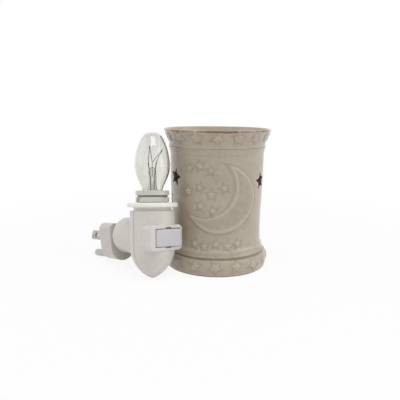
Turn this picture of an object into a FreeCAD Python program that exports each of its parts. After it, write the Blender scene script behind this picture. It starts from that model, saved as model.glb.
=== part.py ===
import FreeCAD, Part
import math
import os

# Wax melt warmer: a ceramic shade with a lift-off dish, and a plug-in lamp unit beside it.
# Millimetres, +Z up. The origin is the centre of the shade's foot, and the shade's front faces -Y.
# Azimuths are degrees about +Z from the front, positive towards +X.

Vector = FreeCAD.Vector
X_AXIS = Vector(1, 0, 0)
Y_AXIS = Vector(0, 1, 0)
Z_AXIS = Vector(0, 0, 1)
ORIGIN = Vector(0, 0, 0)
FULL_TURN = 360

# Shared by every cut
OVERRUN = 2.0            # how far a cutting solid passes the face that it opens

# Ceramic shade
SHADE_HEIGHT = 81.6      # foot to the seat of the dish
CERAMIC_WALL = 3.2
FLOOR_THICKNESS = 4.0
LAMP_HOLE_RADIUS = 12.0  # in the floor, the bulb goes through it
FOOT_ROUND = 0.9
BAND_HEIGHT = 10.8       # starred band at the foot
BAND_RADIUS = 34.3       # the insets below lie inside it
BAND_CROWN = 0.7         # how far the band bulges
BAND_EDGE_ROUND = 0.6
GROOVE_INSET = 2.3
GROOVE_HEIGHT = 1.5
BEAD_INSET = 1.4         # lip over the groove
COVE_HEIGHT = 6.7        # concave run from the lip up to the waist
COVE_TOP_INSET = 3.7
WAIST_HEIGHT = 26.0
WAIST_INSET = 3.9
CHEST_HEIGHT = 55.0
CHEST_INSET = 3.1
COLLAR_HEIGHT = 77.6     # where the collar under the dish starts
COLLAR_FOOT_INSET = 2.7
COLLAR_STEP = 0.25       # fine line round the collar's foot
SEAT_INSET = 1.6         # outer edge of the dish's seat

# Relief on the ceramic
RELIEF = 0.6             # how proud the stars and the crescent stand
RELIEF_ROOT = 0.8        # how deep they root in the wall
STAR_WAIST_SHARE = 0.47  # a star's inner radius over its outer radius
STAR_POINTS = 5
BAND_STAR_RADIUS = 3.7
BAND_STAR_HEIGHT = 6.4   # on the band at the foot
BAND_STAR_COUNT = 16
VENT_STAR_RADIUS = 6.3
SKY_STAR_RADIUS = 2.9
MOON_RADIUS = 22.1
MOON_HOLLOW_RADIUS = 19.5
MOON_X = 1.7
MOON_HEIGHT = 51.0
MOON_HOLLOW_SHIFT = 6.3  # hollow's centre, towards -X from the moon's
MOON_HOLLOW_RISE = 4.4
MOON_LINE = 1.2          # width of the crescent's raised line

# Vents: azimuth, height as a share of SHADE_HEIGHT, turn of the star in its own plane
VENT_SHARES = (
    (-58, 0.765, 12),
    (-80, 0.570, -14),
    (66, 0.735, -10),
    (92, 0.540, 16),
    (120, 0.760, -8),
    (150, 0.560, 10),
    (180, 0.770, 0),
    (-150, 0.560, -12),
    (-118, 0.760, 14),
)

# Small stars on the front: azimuth, height share, size over SKY_STAR_RADIUS, turn
SKY_SHARES = (
    (-33, 0.845, 0.85, 10),
    (-20, 0.870, 1.00, -12),
    (-7, 0.835, 0.80, 6),
    (-35, 0.665, 1.00, -8),
    (-20, 0.700, 0.80, 14),
    (-6, 0.650, 1.05, 0),
    (9, 0.700, 0.85, -15),
    (-19, 0.555, 0.95, 9),
    (-4, 0.520, 0.80, -10),
    (-27, 0.250, 0.85, 8),
    (-14, 0.235, 1.00, -12),
    (0, 0.255, 0.85, 4),
    (14, 0.235, 1.00, 12),
    (27, 0.250, 0.85, -8),
)

# Wax dish
RIM_OVERHANG = 1.6       # past the foot band
DISH_BAND_HEIGHT = 11.7  # seat to the top of the rim
DISH_BAND_FOOT_INSET = 1.8
DISH_FLARE_START = 2.6   # height over the seat where the flare leaves the foot
RIM_ROUND = 1.0
DISH_BASE_DEPTH = 7.0    # how far the bowl hangs below the seat
DISH_BASE_RADIUS = 19.0
DISH_LOCATE_CLEARANCE = 0.6
DISH_FLOOR = 3.0

# Lamp unit: where it stands and which way its switch looks
LAMP_SIDE_GAP = 5.3      # its tip stands this far past the foot band's side
LAMP_FRONT_GAP = 1.8     # and this far past its front
LAMP_YAW = 44.0
LAMP_SIDE_LEAN = -1.25
PIN_FLOOR_GAP = 0.2392   # it leans back until its ground pin comes this near to the floor

# Housing shells
SHELL_RADIUS = 14.5
SHELL_HEIGHT = 42.9
SHELL_WALL = 1.8
NOSE_ARC = 22.5          # radius of the pointed bottom's sides
TIP_ROUND = 4.0
SHELL_TOP_ROUND = 0.9
BOSS_RADIUS = 12.0       # round boss that carries the swivel plug
BOSS_DROP = 17.0         # from the shells' top down to the swivel axis
BOSS_REACH = 31.0        # from the lamp axis to the boss's end
BOSS_ROUND = 3.6
SCREW_OFFSET = 10.3
SCREW_DROP = 6.2         # from the shells' top
SCREW_POST_RADIUS = 2.3
SCREW_HEAD_RADIUS = 1.7
SCREW_HEAD_HEIGHT = 1.2
SCREW_SHANK_RADIUS = 0.9
SCREW_LENGTH = 8.5
SCREW_SEAT = 3.6         # head's seat, from the seam
SCREW_SLOT_WIDTH = 0.5
SCREW_SLOT_DEPTH = 0.5
SCREW_CLEARANCE = 0.1

# Lampholder
COLLAR_RADIUS = 12.0     # stepped neck over the shells
COLLAR_RISE = 2.05
FLANGE_HEIGHT = 1.8      # keeps the neck inside the shells
FIT_GAP = 0.1            # between parts of the lamp unit that don't move
HOLDER_CORE_RADIUS = 9.6
HOLDER_RING_RADIUS = 10.7
HOLDER_OPENING_RADIUS = 8.2
HOLDER_RISE = 12.55      # from the shells' top up to the top of the upper ring
UPPER_RING_HEIGHT = 3.0
LUG_HEIGHT = 3.1
LUG_GAP_ABOVE = 1.15      # groove between the lugs and the upper ring
LUG_COUNT = 4
LUG_GAP_WIDTH = 3.2
LUG_SLOPE = 30.0
SOCKET_WALL = 0.85
SOCKET_FLOOR = 1.2
RING_ROUND = 0.5

# Soft seat ring
SEAT_RING_RADIUS = 16.15
SEAT_RING_HEIGHT = 2.9
SEAT_RING_ROUND = 1.0

# Contacts in the lampholder
CONTACT_RADIUS = 6.15    # inside of the screw shell
CONTACT_WALL = 0.5
CONTACT_HEIGHT = 12.3
TAB_WIDTH = 2.4
TAB_THICKNESS = 0.7
TAB_DROP = 2.6           # how far the tabs reach under the lampholder
CENTRE_DISC_RADIUS = 3.0

# Bulb
BULB_LENGTH = 54.0
BULB_RADIUS = 11.25
BULB_SEAT_DEPTH = 16.75   # how deep the bulb sits below the upper ring
GLASS_WALL = 0.6
CAP_RADIUS = 5.85
CAP_WALL = 0.4
CAP_HEIGHT = 11.6
CAP_THREAD_DEPTH = 0.45
CAP_THREAD_PITCH = 2.54
CAP_THREAD_TURNS = 3
INSULATOR_HEIGHT = 2.4
INSULATOR_RADIUS = 2.6
TIP_CONTACT_HEIGHT = 1.2
TIP_CONTACT_RADIUS = 1.9
STEM_RADIUS = 2.6
STEM_HEIGHT = 17.0       # over the top of the cap
STEM_FOOT_RADIUS = 4.4
LEAD_RADIUS = 0.28
LEAD_SPREAD = 2.6
LEAD_HEIGHT = 20.0
LEAD_TURN = -40.0        # plane of the leads, about the bulb's axis
SUPPORT_RADIUS = 0.15
SUPPORT_HEIGHT = 19.6
FILAMENT_RADIUS = 0.2
FILAMENT_LEFT = 1.6
FILAMENT_LEFT_RISE = 10.4
FILAMENT_RIGHT = 6.6
FILAMENT_RIGHT_RISE = 8.0
GLASS_SHARES = (         # radius over BULB_RADIUS, height over the glass's height, from its foot
    (0.530, 0.000),
    (0.600, 0.090),
    (0.765, 0.200),
    (0.935, 0.328),
    (1.000, 0.457),
    (0.965, 0.586),
    (0.875, 0.715),
    (0.720, 0.841),
    (0.525, 0.938),
    (0.390, 0.972),
    (0.000, 1.000),
)

# Switch
PLATFORM_WIDTH = 25.2
PLATFORM_HEIGHT = 15.9
PLATFORM_ROUND = 3.0
PLATFORM_EDGE_ROUND = 0.8
PLATFORM_X = -0.4        # middle of the platform, from the lamp axis
PLATFORM_FRONT = 14.9    # from the lamp axis
ROCKER_X = 1.1           # middle of the rocker
PLATFORM_LIP = 0.9       # front wall round the rocker
SWITCH_DROP = 16.7       # from the shells' top down to the switch's centre
ROCKER_WIDTH = 17.9
ROCKER_HEIGHT = 10.8
ROCKER_GAP = 0.8         # rocker to the window, at its ends
ROCKER_SIDE_GAP = 0.3    # rocker to the window, above and below
ROCKER_THICKNESS = 3.4
ROCKER_PIVOT_DEPTH = 3.2 # pivot behind the rocker's middle
ROCKER_RIDGE_DROP = 0.9  # the face's middle lies this much behind its ends
ROCKER_TILT = 8.0        # each way from the middle
ROCKER_PROUD = 1.3       # the face's ends over the platform, at the middle of the throw
ROCKER_EDGE_ROUND = 0.4
PIVOT_RADIUS = 1.2
PIVOT_CLEARANCE = 0.05
PIVOT_REACH = 0.7        # into the case's walls
NOTCH_WIDTH = 3.8        # openings at the pivot, above and below the rocker
NOTCH_DEPTH = 0.8
CASE_WALL = 0.9
CASE_END_WALL = 0.6
CASE_FLOOR = 1.2
CASE_BACK = 5.0          # from the lamp axis
TERMINAL_WIDTH = 4.8
TERMINAL_THICKNESS = 0.8
TERMINAL_LENGTH = 4.4
TERMINAL_OFFSET = 5.4

# Swivel plug
SWIVEL_GAP = 0.3         # plug face to the boss
SWIVEL_TURN = 11.6       # how far the plug is turned in the photographed pose
PLUG_DEPTH = 14.2
PLUG_TOP = 6.4           # over the swivel axis
PLUG_CORNER_ROUND = 4.3
PLUG_WIDTH = 26.2
PLUG_FOOT = 17.5         # below the swivel axis
PLUG_FOOT_ROUND = 9.3
PLUG_EDGE_ROUND = 1.3
SPIGOT_RADIUS = 7.0
SPIGOT_CLEARANCE = 0.05
SPIGOT_REACH = 5.2       # past the boss's inner face
RETAINER_RADIUS = 8.3
RETAINER_THICKNESS = 1.4
RETAINER_GROOVE = 0.9
RETAINER_PLAY = 0.1
SLIP_THICKNESS = 0.8
SLIP_WIDTH = 1.5
SLIP_LINE_RADIUS = 5.4
SLIP_NEUTRAL_RADIUS = 2.2
BRUSH_RADIUS = 0.6
BRUSH_LENGTH = 3.0
BRUSH_HOLDER_THICKNESS = 1.6

# Blades and ground pin, standard sizes
BLADE_WIDTH = 6.35
BLADE_THICKNESS = 1.5
BLADE_SPACING = 12.7
BLADE_LENGTH = 17.6
BLADE_ROOT = 6.0
BLADE_DROP = 2.5         # blades' centre below the swivel axis
BLADE_HOLE_RADIUS = 1.6
BLADE_HOLE_REACH = 11.7
BLADE_TIP_CHAMFER = 1.3
GROUND_DROP = 11.9       # pin's axis below the blades' centre
GROUND_RADIUS = 2.4
GROUND_LENGTH = 19.35
GROUND_ROOT = 6.0
GROUND_ROOT_RADIUS = 1.9

# Wires inside the housing
WIRE_RADIUS = 0.7
WIRE_BEND_SHARE = 0.45   # a bend's tangent length over its shorter run

# Radii, heights and places that follow
GROOVE_RADIUS = BAND_RADIUS - GROOVE_INSET
BEAD_RADIUS = BAND_RADIUS - BEAD_INSET
COVE_TOP_RADIUS = BAND_RADIUS - COVE_TOP_INSET
WAIST_RADIUS = BAND_RADIUS - WAIST_INSET
CHEST_RADIUS = BAND_RADIUS - CHEST_INSET
COLLAR_FOOT_RADIUS = BAND_RADIUS - COLLAR_FOOT_INSET
SEAT_RADIUS = BAND_RADIUS - SEAT_INSET
DISH_BAND_FOOT_RADIUS = BAND_RADIUS - DISH_BAND_FOOT_INSET
RIM_RADIUS = BAND_RADIUS + RIM_OVERHANG
LAMP_X = -BAND_RADIUS - LAMP_SIDE_GAP
LAMP_Y = -BAND_RADIUS - LAMP_FRONT_GAP
BOSS_HEIGHT = SHELL_HEIGHT - BOSS_DROP
SCREW_HEIGHT = SHELL_HEIGHT - SCREW_DROP
SWITCH_HEIGHT = SHELL_HEIGHT - SWITCH_DROP
HOLDER_HEIGHT = SHELL_HEIGHT + HOLDER_RISE
BEAD_HEIGHT = BAND_HEIGHT + GROOVE_HEIGHT
COVE_TOP = BEAD_HEIGHT + COVE_HEIGHT
RIM_HEIGHT = SHADE_HEIGHT + DISH_BAND_HEIGHT
NOSE_OFFSET = NOSE_ARC - SHELL_RADIUS
NOSE_HEIGHT = math.sqrt((NOSE_ARC - TIP_ROUND) ** 2 - NOSE_OFFSET ** 2) + TIP_ROUND
ROOF_UNDERSIDE = SHELL_HEIGHT - SHELL_WALL
COLLAR_TOP = SHELL_HEIGHT + COLLAR_RISE
UPPER_RING_FOOT = HOLDER_HEIGHT - UPPER_RING_HEIGHT
LUG_TOP = UPPER_RING_FOOT - LUG_GAP_ABOVE
BULB_FOOT = HOLDER_HEIGHT - BULB_SEAT_DEPTH
BULB_TOP = BULB_FOOT + BULB_LENGTH
CAP_FOOT = BULB_FOOT + TIP_CONTACT_HEIGHT + INSULATOR_HEIGHT - CAP_WALL
CAP_TOP = CAP_FOOT + CAP_HEIGHT
SOCKET_FLOOR_TOP = BULB_FOOT - TAB_THICKNESS
SOCKET_BOTTOM = SOCKET_FLOOR_TOP - SOCKET_FLOOR
SOCKET_BORE = CONTACT_RADIUS + CONTACT_WALL + FIT_GAP
CONTACT_TOP = SOCKET_FLOOR_TOP + 2 * TAB_THICKNESS + CONTACT_HEIGHT
TAB_BOTTOM = SOCKET_BOTTOM - TAB_DROP
PIVOT_FRONT = PLATFORM_FRONT + ROCKER_PROUD - ROCKER_RIDGE_DROP - ROCKER_PIVOT_DEPTH
WINDOW_WIDTH = ROCKER_WIDTH + 2 * ROCKER_GAP
WINDOW_HEIGHT = ROCKER_HEIGHT + 2 * ROCKER_SIDE_GAP
CASE_WIDTH = WINDOW_WIDTH + 2 * CASE_END_WALL
CASE_HEIGHT = WINDOW_HEIGHT + 2 * CASE_WALL
CASE_FRONT = PLATFORM_FRONT - PLATFORM_LIP
BOSS_INNER_END = BOSS_REACH - SHELL_WALL
PLUG_BACK = BOSS_REACH + SWIVEL_GAP
PLUG_FACE = PLUG_BACK + PLUG_DEPTH
SPIGOT_END = BOSS_INNER_END - SPIGOT_REACH
SLIP_FACE = SPIGOT_END - SLIP_THICKNESS
BRUSH_FOOT = SLIP_FACE - BRUSH_LENGTH
TERMINAL_END = TERMINAL_LENGTH - CASE_BACK


# Outlines and placing

class Outline:
    """A closed outline in the XZ plane, drawn run by run from its first point."""

    def __init__(self, x, z):
        self.first = Vector(x, 0, z)
        self.last = self.first
        self.edges = []

    def line(self, x, z):
        end = Vector(x, 0, z)
        self.edges.append(Part.LineSegment(self.last, end).toShape())
        self.last = end
        return self

    def arc(self, middle_x, middle_z, x, z):
        end = Vector(x, 0, z)
        self.edges.append(Part.Arc(self.last, Vector(middle_x, 0, middle_z), end).toShape())
        self.last = end
        return self

    def corner(self, x, z, end_x, end_z):
        """A quarter round that turns at the corner (x, z) and ends at (end_x, end_z)."""
        corner = Vector(x, 0, z)
        end = Vector(end_x, 0, end_z)
        centre = self.last + end - corner
        middle = centre + (corner - centre) * (1 / math.sqrt(2))
        return self.arc(middle.x, middle.z, end_x, end_z)

    def curve(self, points):
        """A smooth run through points, from the outline's last one."""
        spline = Part.BSplineCurve()
        spline.interpolate([self.last] + [Vector(x, 0, z) for x, z in points])
        self.edges.append(spline.toShape())
        self.last = Vector(points[-1][0], 0, points[-1][1])
        return self

    def face(self):
        edges = list(self.edges)
        if self.last.distanceToPoint(self.first) > 0:
            edges.append(Part.LineSegment(self.last, self.first).toShape())
        return Part.Face(Part.Wire(edges))

    def turned(self):
        return self.face().revolve(ORIGIN, Z_AXIS, FULL_TURN)


def rod(radius, start, end):
    return Part.makeCylinder(radius, start.distanceToPoint(end), start, end - start)


def upright(radius, low, high, x=0, y=0):
    return rod(radius, Vector(x, y, low), Vector(x, y, high))


def block(x_low, x_high, y_low, y_high, z_low, z_high):
    return Part.makeBox(x_high - x_low, y_high - y_low, z_high - z_low, Vector(x_low, y_low, z_low))


def rounded_plate(width, height, radius, centre_z):
    """A face in the XZ plane: a rectangle with round corners."""
    right = width / 2
    top = centre_z + height / 2
    bottom = centre_z - height / 2
    outline = Outline(radius - right, bottom)
    outline.line(right - radius, bottom)
    outline.corner(right, bottom, right, bottom + radius)
    outline.line(right, top - radius)
    outline.corner(right, top, right - radius, top)
    outline.line(radius - right, top)
    outline.corner(-right, top, -right, top - radius)
    outline.line(-right, bottom + radius)
    outline.corner(-right, bottom, radius - right, bottom)
    return outline.face()


def extruded(face, start_y, end_y):
    return face.translated(Vector(0, start_y, 0)).extrude(Vector(0, end_y - start_y, 0))


def at_azimuth(shape, azimuth, height):
    turned = shape.translated(Vector(0, 0, height))
    turned.rotate(ORIGIN, Z_AXIS, azimuth)
    return turned


def lamp_lean():
    """The angle at which the end of the ground pin comes down to the floor, behind the tip."""
    pin = Vector(0, PLUG_FACE + GROUND_LENGTH - GROUND_RADIUS, -BLADE_DROP - GROUND_DROP)
    pin = FreeCAD.Rotation(Y_AXIS, SWIVEL_TURN).multVec(pin)
    pin = pin + Vector(0, 0, BOSS_HEIGHT - TIP_ROUND)
    pin = FreeCAD.Rotation(Z_AXIS, LAMP_YAW).multVec(pin)
    pin = FreeCAD.Rotation(Y_AXIS, LAMP_SIDE_LEAN).multVec(pin)
    wanted = GROUND_RADIUS + PIN_FLOOR_GAP - TIP_ROUND
    return math.degrees(math.acos(wanted / math.hypot(pin.y, pin.z)) - math.atan2(pin.y, pin.z))


def in_lamp_place(shape):
    """The unit is turned and leans about the centre of its round tip, which stays on the floor."""
    tip = Vector(0, 0, TIP_ROUND)
    placed = shape.copy()
    placed.rotate(tip, Z_AXIS, LAMP_YAW)
    placed.rotate(tip, Y_AXIS, LAMP_SIDE_LEAN)
    placed.rotate(tip, X_AXIS, -lamp_lean())
    placed.translate(Vector(LAMP_X, LAMP_Y, 0))
    return placed


def in_plug_place(shape):
    """The plug turns about the boss's axis. The photographed turn swings its foot towards -X."""
    placed = shape.copy()
    placed.rotate(Vector(0, 0, BOSS_HEIGHT), Y_AXIS, SWIVEL_TURN)
    return in_lamp_place(placed)


# Ceramic

def star_face(radius, turn):
    points = []
    for index in range(2 * STAR_POINTS):
        reach = radius if index % 2 == 0 else radius * STAR_WAIST_SHARE
        angle = math.radians(turn + index * FULL_TURN / (2 * STAR_POINTS))
        points.append(Vector(reach * math.sin(angle), 0, reach * math.cos(angle)))
    return Part.Face(Part.makePolygon(points + points[:1]))


def shade_side(offset):
    """The side from the cove up to the collar, moved outwards by offset."""
    return [
        (COVE_TOP_RADIUS + offset, COVE_TOP),
        (WAIST_RADIUS + offset, WAIST_HEIGHT),
        (CHEST_RADIUS + offset, CHEST_HEIGHT),
        (COLLAR_FOOT_RADIUS + offset, COLLAR_HEIGHT),
    ]


def band_skin(low_radius, high_radius, crown, low, high):
    """A thin turned skin over a band, which cuts its relief to an even height."""
    middle = (low + high) / 2
    middle_radius = (low_radius + high_radius) / 2 + crown
    outline = Outline(low_radius - RELIEF_ROOT, low)
    outline.line(low_radius + RELIEF, low)
    outline.arc(middle_radius + RELIEF, middle, high_radius + RELIEF, high)
    outline.line(high_radius - RELIEF_ROOT, high)
    outline.arc(middle_radius - RELIEF_ROOT, middle, low_radius - RELIEF_ROOT, low)
    return outline.turned()


def side_skin():
    inner = shade_side(-RELIEF_ROOT)
    outer = shade_side(RELIEF)
    outline = Outline(*inner[0])
    outline.line(*outer[0])
    outline.curve(outer[1:])
    outline.line(*inner[-1])
    outline.curve(inner[-2::-1])
    return outline.turned()


def band_stars(reach, height):
    """Stars all round a band, every second one turned tip down."""
    stars = []
    for index in range(BAND_STAR_COUNT):
        turn = ((index + 1) % 2) * FULL_TURN / (2 * STAR_POINTS)
        star = extruded(star_face(BAND_STAR_RADIUS, turn), -reach - OVERRUN, -reach / 2)
        stars.append(at_azimuth(star, index * FULL_TURN / BAND_STAR_COUNT, height))
    return stars


def crescent_line(reach):
    moon = Vector(MOON_X, 0, MOON_HEIGHT)
    hollow = moon + Vector(-MOON_HOLLOW_SHIFT, 0, MOON_HOLLOW_RISE)
    front = Vector(0, -reach - OVERRUN, 0)
    back = Vector(0, -reach / 2, 0)
    outer = rod(MOON_RADIUS, moon + front, moon + back)
    outer = outer.cut(rod(MOON_HOLLOW_RADIUS, hollow + front, hollow + back))
    inner = rod(MOON_RADIUS - MOON_LINE, moon + front, moon + back)
    inner = inner.cut(rod(MOON_HOLLOW_RADIUS + MOON_LINE, hollow + front, hollow + back))
    return outer.cut(inner)


def sky_stars(reach):
    stars = []
    for azimuth, height_share, size_share, turn in SKY_SHARES:
        face = star_face(SKY_STAR_RADIUS * size_share, turn)
        star = extruded(face, -reach - OVERRUN, -reach / 2)
        stars.append(at_azimuth(star, azimuth, SHADE_HEIGHT * height_share))
    return stars


def vents(reach):
    cutters = []
    for azimuth, height_share, turn in VENT_SHARES:
        cutter = extruded(star_face(VENT_STAR_RADIUS, turn), -reach - OVERRUN, -reach / 2)
        cutters.append(at_azimuth(cutter, azimuth, SHADE_HEIGHT * height_share))
    return cutters


def shade_shell():
    outline = Outline(LAMP_HOLE_RADIUS, 0)
    outline.line(BAND_RADIUS - FOOT_ROUND, 0)
    outline.corner(BAND_RADIUS, 0, BAND_RADIUS, FOOT_ROUND)
    band_top = BAND_HEIGHT - BAND_EDGE_ROUND
    band_middle = (FOOT_ROUND + band_top) / 2
    outline.arc(BAND_RADIUS + BAND_CROWN, band_middle, BAND_RADIUS, band_top)
    outline.corner(BAND_RADIUS, BAND_HEIGHT, BAND_RADIUS - BAND_EDGE_ROUND, BAND_HEIGHT)
    outline.line(GROOVE_RADIUS, BAND_HEIGHT)
    outline.line(GROOVE_RADIUS, BEAD_HEIGHT - BAND_EDGE_ROUND)
    outline.line(BEAD_RADIUS, BEAD_HEIGHT)
    cove_middle_radius = COVE_TOP_RADIUS + (BEAD_RADIUS - COVE_TOP_RADIUS) * 0.3
    cove_middle_height = (BEAD_HEIGHT + COVE_TOP) / 2
    outline.arc(cove_middle_radius, cove_middle_height, COVE_TOP_RADIUS, COVE_TOP)
    outline.curve(shade_side(0)[1:])
    outline.line(COLLAR_FOOT_RADIUS + COLLAR_STEP, COLLAR_HEIGHT)
    collar_middle_radius = COLLAR_FOOT_RADIUS + (SEAT_RADIUS - COLLAR_FOOT_RADIUS) * 0.4
    collar_middle_height = (COLLAR_HEIGHT + SHADE_HEIGHT) / 2
    outline.arc(collar_middle_radius, collar_middle_height, SEAT_RADIUS, SHADE_HEIGHT)
    outline.line(SEAT_RADIUS - CERAMIC_WALL, SHADE_HEIGHT)
    inside = [(radius, height) for radius, height in shade_side(-CERAMIC_WALL)]
    outline.line(*inside[-1])
    outline.curve(inside[-2::-1])
    outline.line(GROOVE_RADIUS - CERAMIC_WALL, BEAD_HEIGHT)
    outline.line(BAND_RADIUS - CERAMIC_WALL - CERAMIC_WALL, FLOOR_THICKNESS)
    outline.line(LAMP_HOLE_RADIUS, FLOOR_THICKNESS)
    return outline.turned()


def make_shade_body():
    relief = side_skin().common(Part.makeCompound([crescent_line(CHEST_RADIUS)] + sky_stars(CHEST_RADIUS)))
    skin = band_skin(BAND_RADIUS, BAND_RADIUS, BAND_CROWN, 0, BAND_HEIGHT)
    band_relief = skin.common(Part.makeCompound(band_stars(BAND_RADIUS, BAND_STAR_HEIGHT)))
    body = shade_shell().fuse(relief.Solids + band_relief.Solids)
    return body.cut(vents(CHEST_RADIUS))


def dish_flare(offset):
    """Foot, middle and top of the dish's flared band, moved outwards by offset."""
    low = SHADE_HEIGHT + DISH_FLARE_START
    high = RIM_HEIGHT - RIM_ROUND
    middle_radius = DISH_BAND_FOOT_RADIUS + (RIM_RADIUS - DISH_BAND_FOOT_RADIUS) * 0.36
    return [
        (DISH_BAND_FOOT_RADIUS + offset, low),
        (middle_radius + offset, (low + high) / 2),
        (RIM_RADIUS + offset, high),
    ]


def dish_skin():
    inner = dish_flare(-RELIEF_ROOT)
    outer = dish_flare(RELIEF)
    outline = Outline(*inner[0])
    outline.line(*outer[0])
    outline.arc(*outer[1], *outer[2])
    outline.line(*inner[2])
    outline.arc(*inner[1], *inner[0])
    return outline.turned()


def make_wax_dish():
    flare = dish_flare(0)
    locate_radius = SEAT_RADIUS - CERAMIC_WALL - DISH_LOCATE_CLEARANCE
    base = SHADE_HEIGHT - DISH_BASE_DEPTH
    floor = base + DISH_FLOOR
    inner_rim = RIM_RADIUS - 2 * RIM_ROUND
    outline = Outline(0, base)
    outline.line(DISH_BASE_RADIUS, base)
    outline.curve([
        (DISH_BASE_RADIUS + (locate_radius - DISH_BASE_RADIUS) * 0.62, base + DISH_BASE_DEPTH * 0.24),
        (locate_radius, base + DISH_BASE_DEPTH * 0.72),
    ])
    outline.line(locate_radius, SHADE_HEIGHT)
    outline.line(DISH_BAND_FOOT_RADIUS, SHADE_HEIGHT)
    outline.line(*flare[0])
    outline.arc(*flare[1], *flare[2])
    outline.arc(RIM_RADIUS - RIM_ROUND, RIM_HEIGHT, inner_rim, RIM_HEIGHT - RIM_ROUND)
    outline.curve([
        (inner_rim * 0.93, SHADE_HEIGHT + DISH_BAND_HEIGHT * 0.42),
        (inner_rim * 0.82, floor + (SHADE_HEIGHT - floor) * 0.85),
        (inner_rim * 0.60, floor + (SHADE_HEIGHT - floor) * 0.15),
        (inner_rim * 0.45, floor),
    ])
    outline.line(0, floor)
    dish = outline.turned()
    middle = (flare[0][1] + flare[2][1]) / 2
    relief = dish_skin().common(Part.makeCompound(band_stars(RIM_RADIUS, middle)))
    return dish.fuse(relief.Solids)


# Housing shells

def nose_outline(inset):
    """Outline of the round housing, half of it, drawn inwards by inset."""
    arc = NOSE_ARC - inset
    tip = TIP_ROUND - inset
    centre_x = SHELL_RADIUS - NOSE_ARC
    tip_centre = Vector(0, 0, TIP_ROUND)
    centre = Vector(centre_x, 0, NOSE_HEIGHT)
    along = tip_centre - centre
    meet = centre + along * (arc / along.Length)
    start_angle = math.atan2(meet.z - centre.z, meet.x - centre.x)
    side_middle = centre + Vector(math.cos(start_angle / 2), 0, math.sin(start_angle / 2)) * arc
    tip_angle = (math.atan2(meet.z - tip_centre.z, meet.x) - math.pi / 2) / 2
    tip_middle = tip_centre + Vector(math.cos(tip_angle), 0, math.sin(tip_angle)) * tip
    outline = Outline(0, inset)
    outline.arc(tip_middle.x, tip_middle.z, meet.x, meet.z)
    outline.arc(side_middle.x, side_middle.z, SHELL_RADIUS - inset, NOSE_HEIGHT)
    return outline


def housing_outside():
    outline = nose_outline(0)
    outline.line(SHELL_RADIUS, SHELL_HEIGHT - SHELL_TOP_ROUND)
    outline.corner(SHELL_RADIUS, SHELL_HEIGHT, SHELL_RADIUS - SHELL_TOP_ROUND, SHELL_HEIGHT)
    outline.line(0, SHELL_HEIGHT)
    return outline.turned()


def housing_inside():
    outline = nose_outline(SHELL_WALL)
    outline.line(SHELL_RADIUS - SHELL_WALL, ROOF_UNDERSIDE)
    outline.line(0, ROOF_UNDERSIDE)
    return outline.turned()


def boss_outside():
    outline = Outline(0, 0)
    outline.line(BOSS_RADIUS, 0)
    outline.line(BOSS_RADIUS, BOSS_REACH - BOSS_ROUND)
    outline.corner(BOSS_RADIUS, BOSS_REACH, BOSS_RADIUS - BOSS_ROUND, BOSS_REACH)
    outline.line(0, BOSS_REACH)
    boss = outline.turned()
    boss.rotate(ORIGIN, X_AXIS, -FULL_TURN / 4)
    boss.translate(Vector(0, 0, BOSS_HEIGHT))
    return boss


def boss_inside():
    inner = BOSS_RADIUS - SHELL_WALL
    inner_round = BOSS_ROUND - SHELL_WALL
    outline = Outline(0, 0)
    outline.line(inner, 0)
    outline.line(inner, BOSS_INNER_END - inner_round)
    outline.corner(inner, BOSS_INNER_END, inner - inner_round, BOSS_INNER_END)
    outline.line(0, BOSS_INNER_END)
    boss = outline.turned()
    boss.rotate(ORIGIN, X_AXIS, -FULL_TURN / 4)
    boss.translate(Vector(0, 0, BOSS_HEIGHT))
    return boss


def half_space(front):
    """A block that holds the front or the rear half of the housing."""
    reach = BOSS_REACH + SHELL_RADIUS
    low = -reach if front else 0
    high = 0 if front else reach
    return block(-reach, reach, low, high, -reach, SHELL_HEIGHT + reach)


def screw_posts(front):
    reach = math.sqrt(SHELL_RADIUS ** 2 - SCREW_OFFSET ** 2)
    end = -reach if front else reach
    posts = []
    for side in (-1, 1):
        x = side * SCREW_OFFSET
        posts.append(rod(SCREW_POST_RADIUS, Vector(x, 0, SCREW_HEIGHT), Vector(x, end, SCREW_HEIGHT)))
    return posts


def screw_holes():
    seat = SCREW_SEAT
    holes = []
    for side in (-1, 1):
        x = side * SCREW_OFFSET
        seat_point = Vector(x, seat, SCREW_HEIGHT)
        bottom = Vector(x, seat - SCREW_LENGTH, SCREW_HEIGHT)
        way_out = Vector(x, SHELL_RADIUS, SCREW_HEIGHT)
        holes.append(rod(SCREW_SHANK_RADIUS + SCREW_CLEARANCE, bottom, seat_point))
        holes.append(rod(SCREW_HEAD_RADIUS + SCREW_CLEARANCE, seat_point, way_out))
    return holes


def holder_cutter():
    return upright(COLLAR_RADIUS + FIT_GAP, ROOF_UNDERSIDE - OVERRUN, SHELL_HEIGHT + OVERRUN)


def face_edges(body, y):
    """Edges of a body that lie in the plane at y."""
    return [edge for edge in body.Edges
            if abs(edge.BoundBox.YMin - y) < FIT_GAP and edge.BoundBox.YLength < FIT_GAP]


def switch_platform():
    face = rounded_plate(PLATFORM_WIDTH, PLATFORM_HEIGHT, PLATFORM_ROUND, SWITCH_HEIGHT)
    platform = extruded(face, -PLATFORM_FRONT, 0)
    platform = platform.makeFillet(PLATFORM_EDGE_ROUND, face_edges(platform, -PLATFORM_FRONT))
    return platform.translated(Vector(PLATFORM_X, 0, 0))


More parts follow.
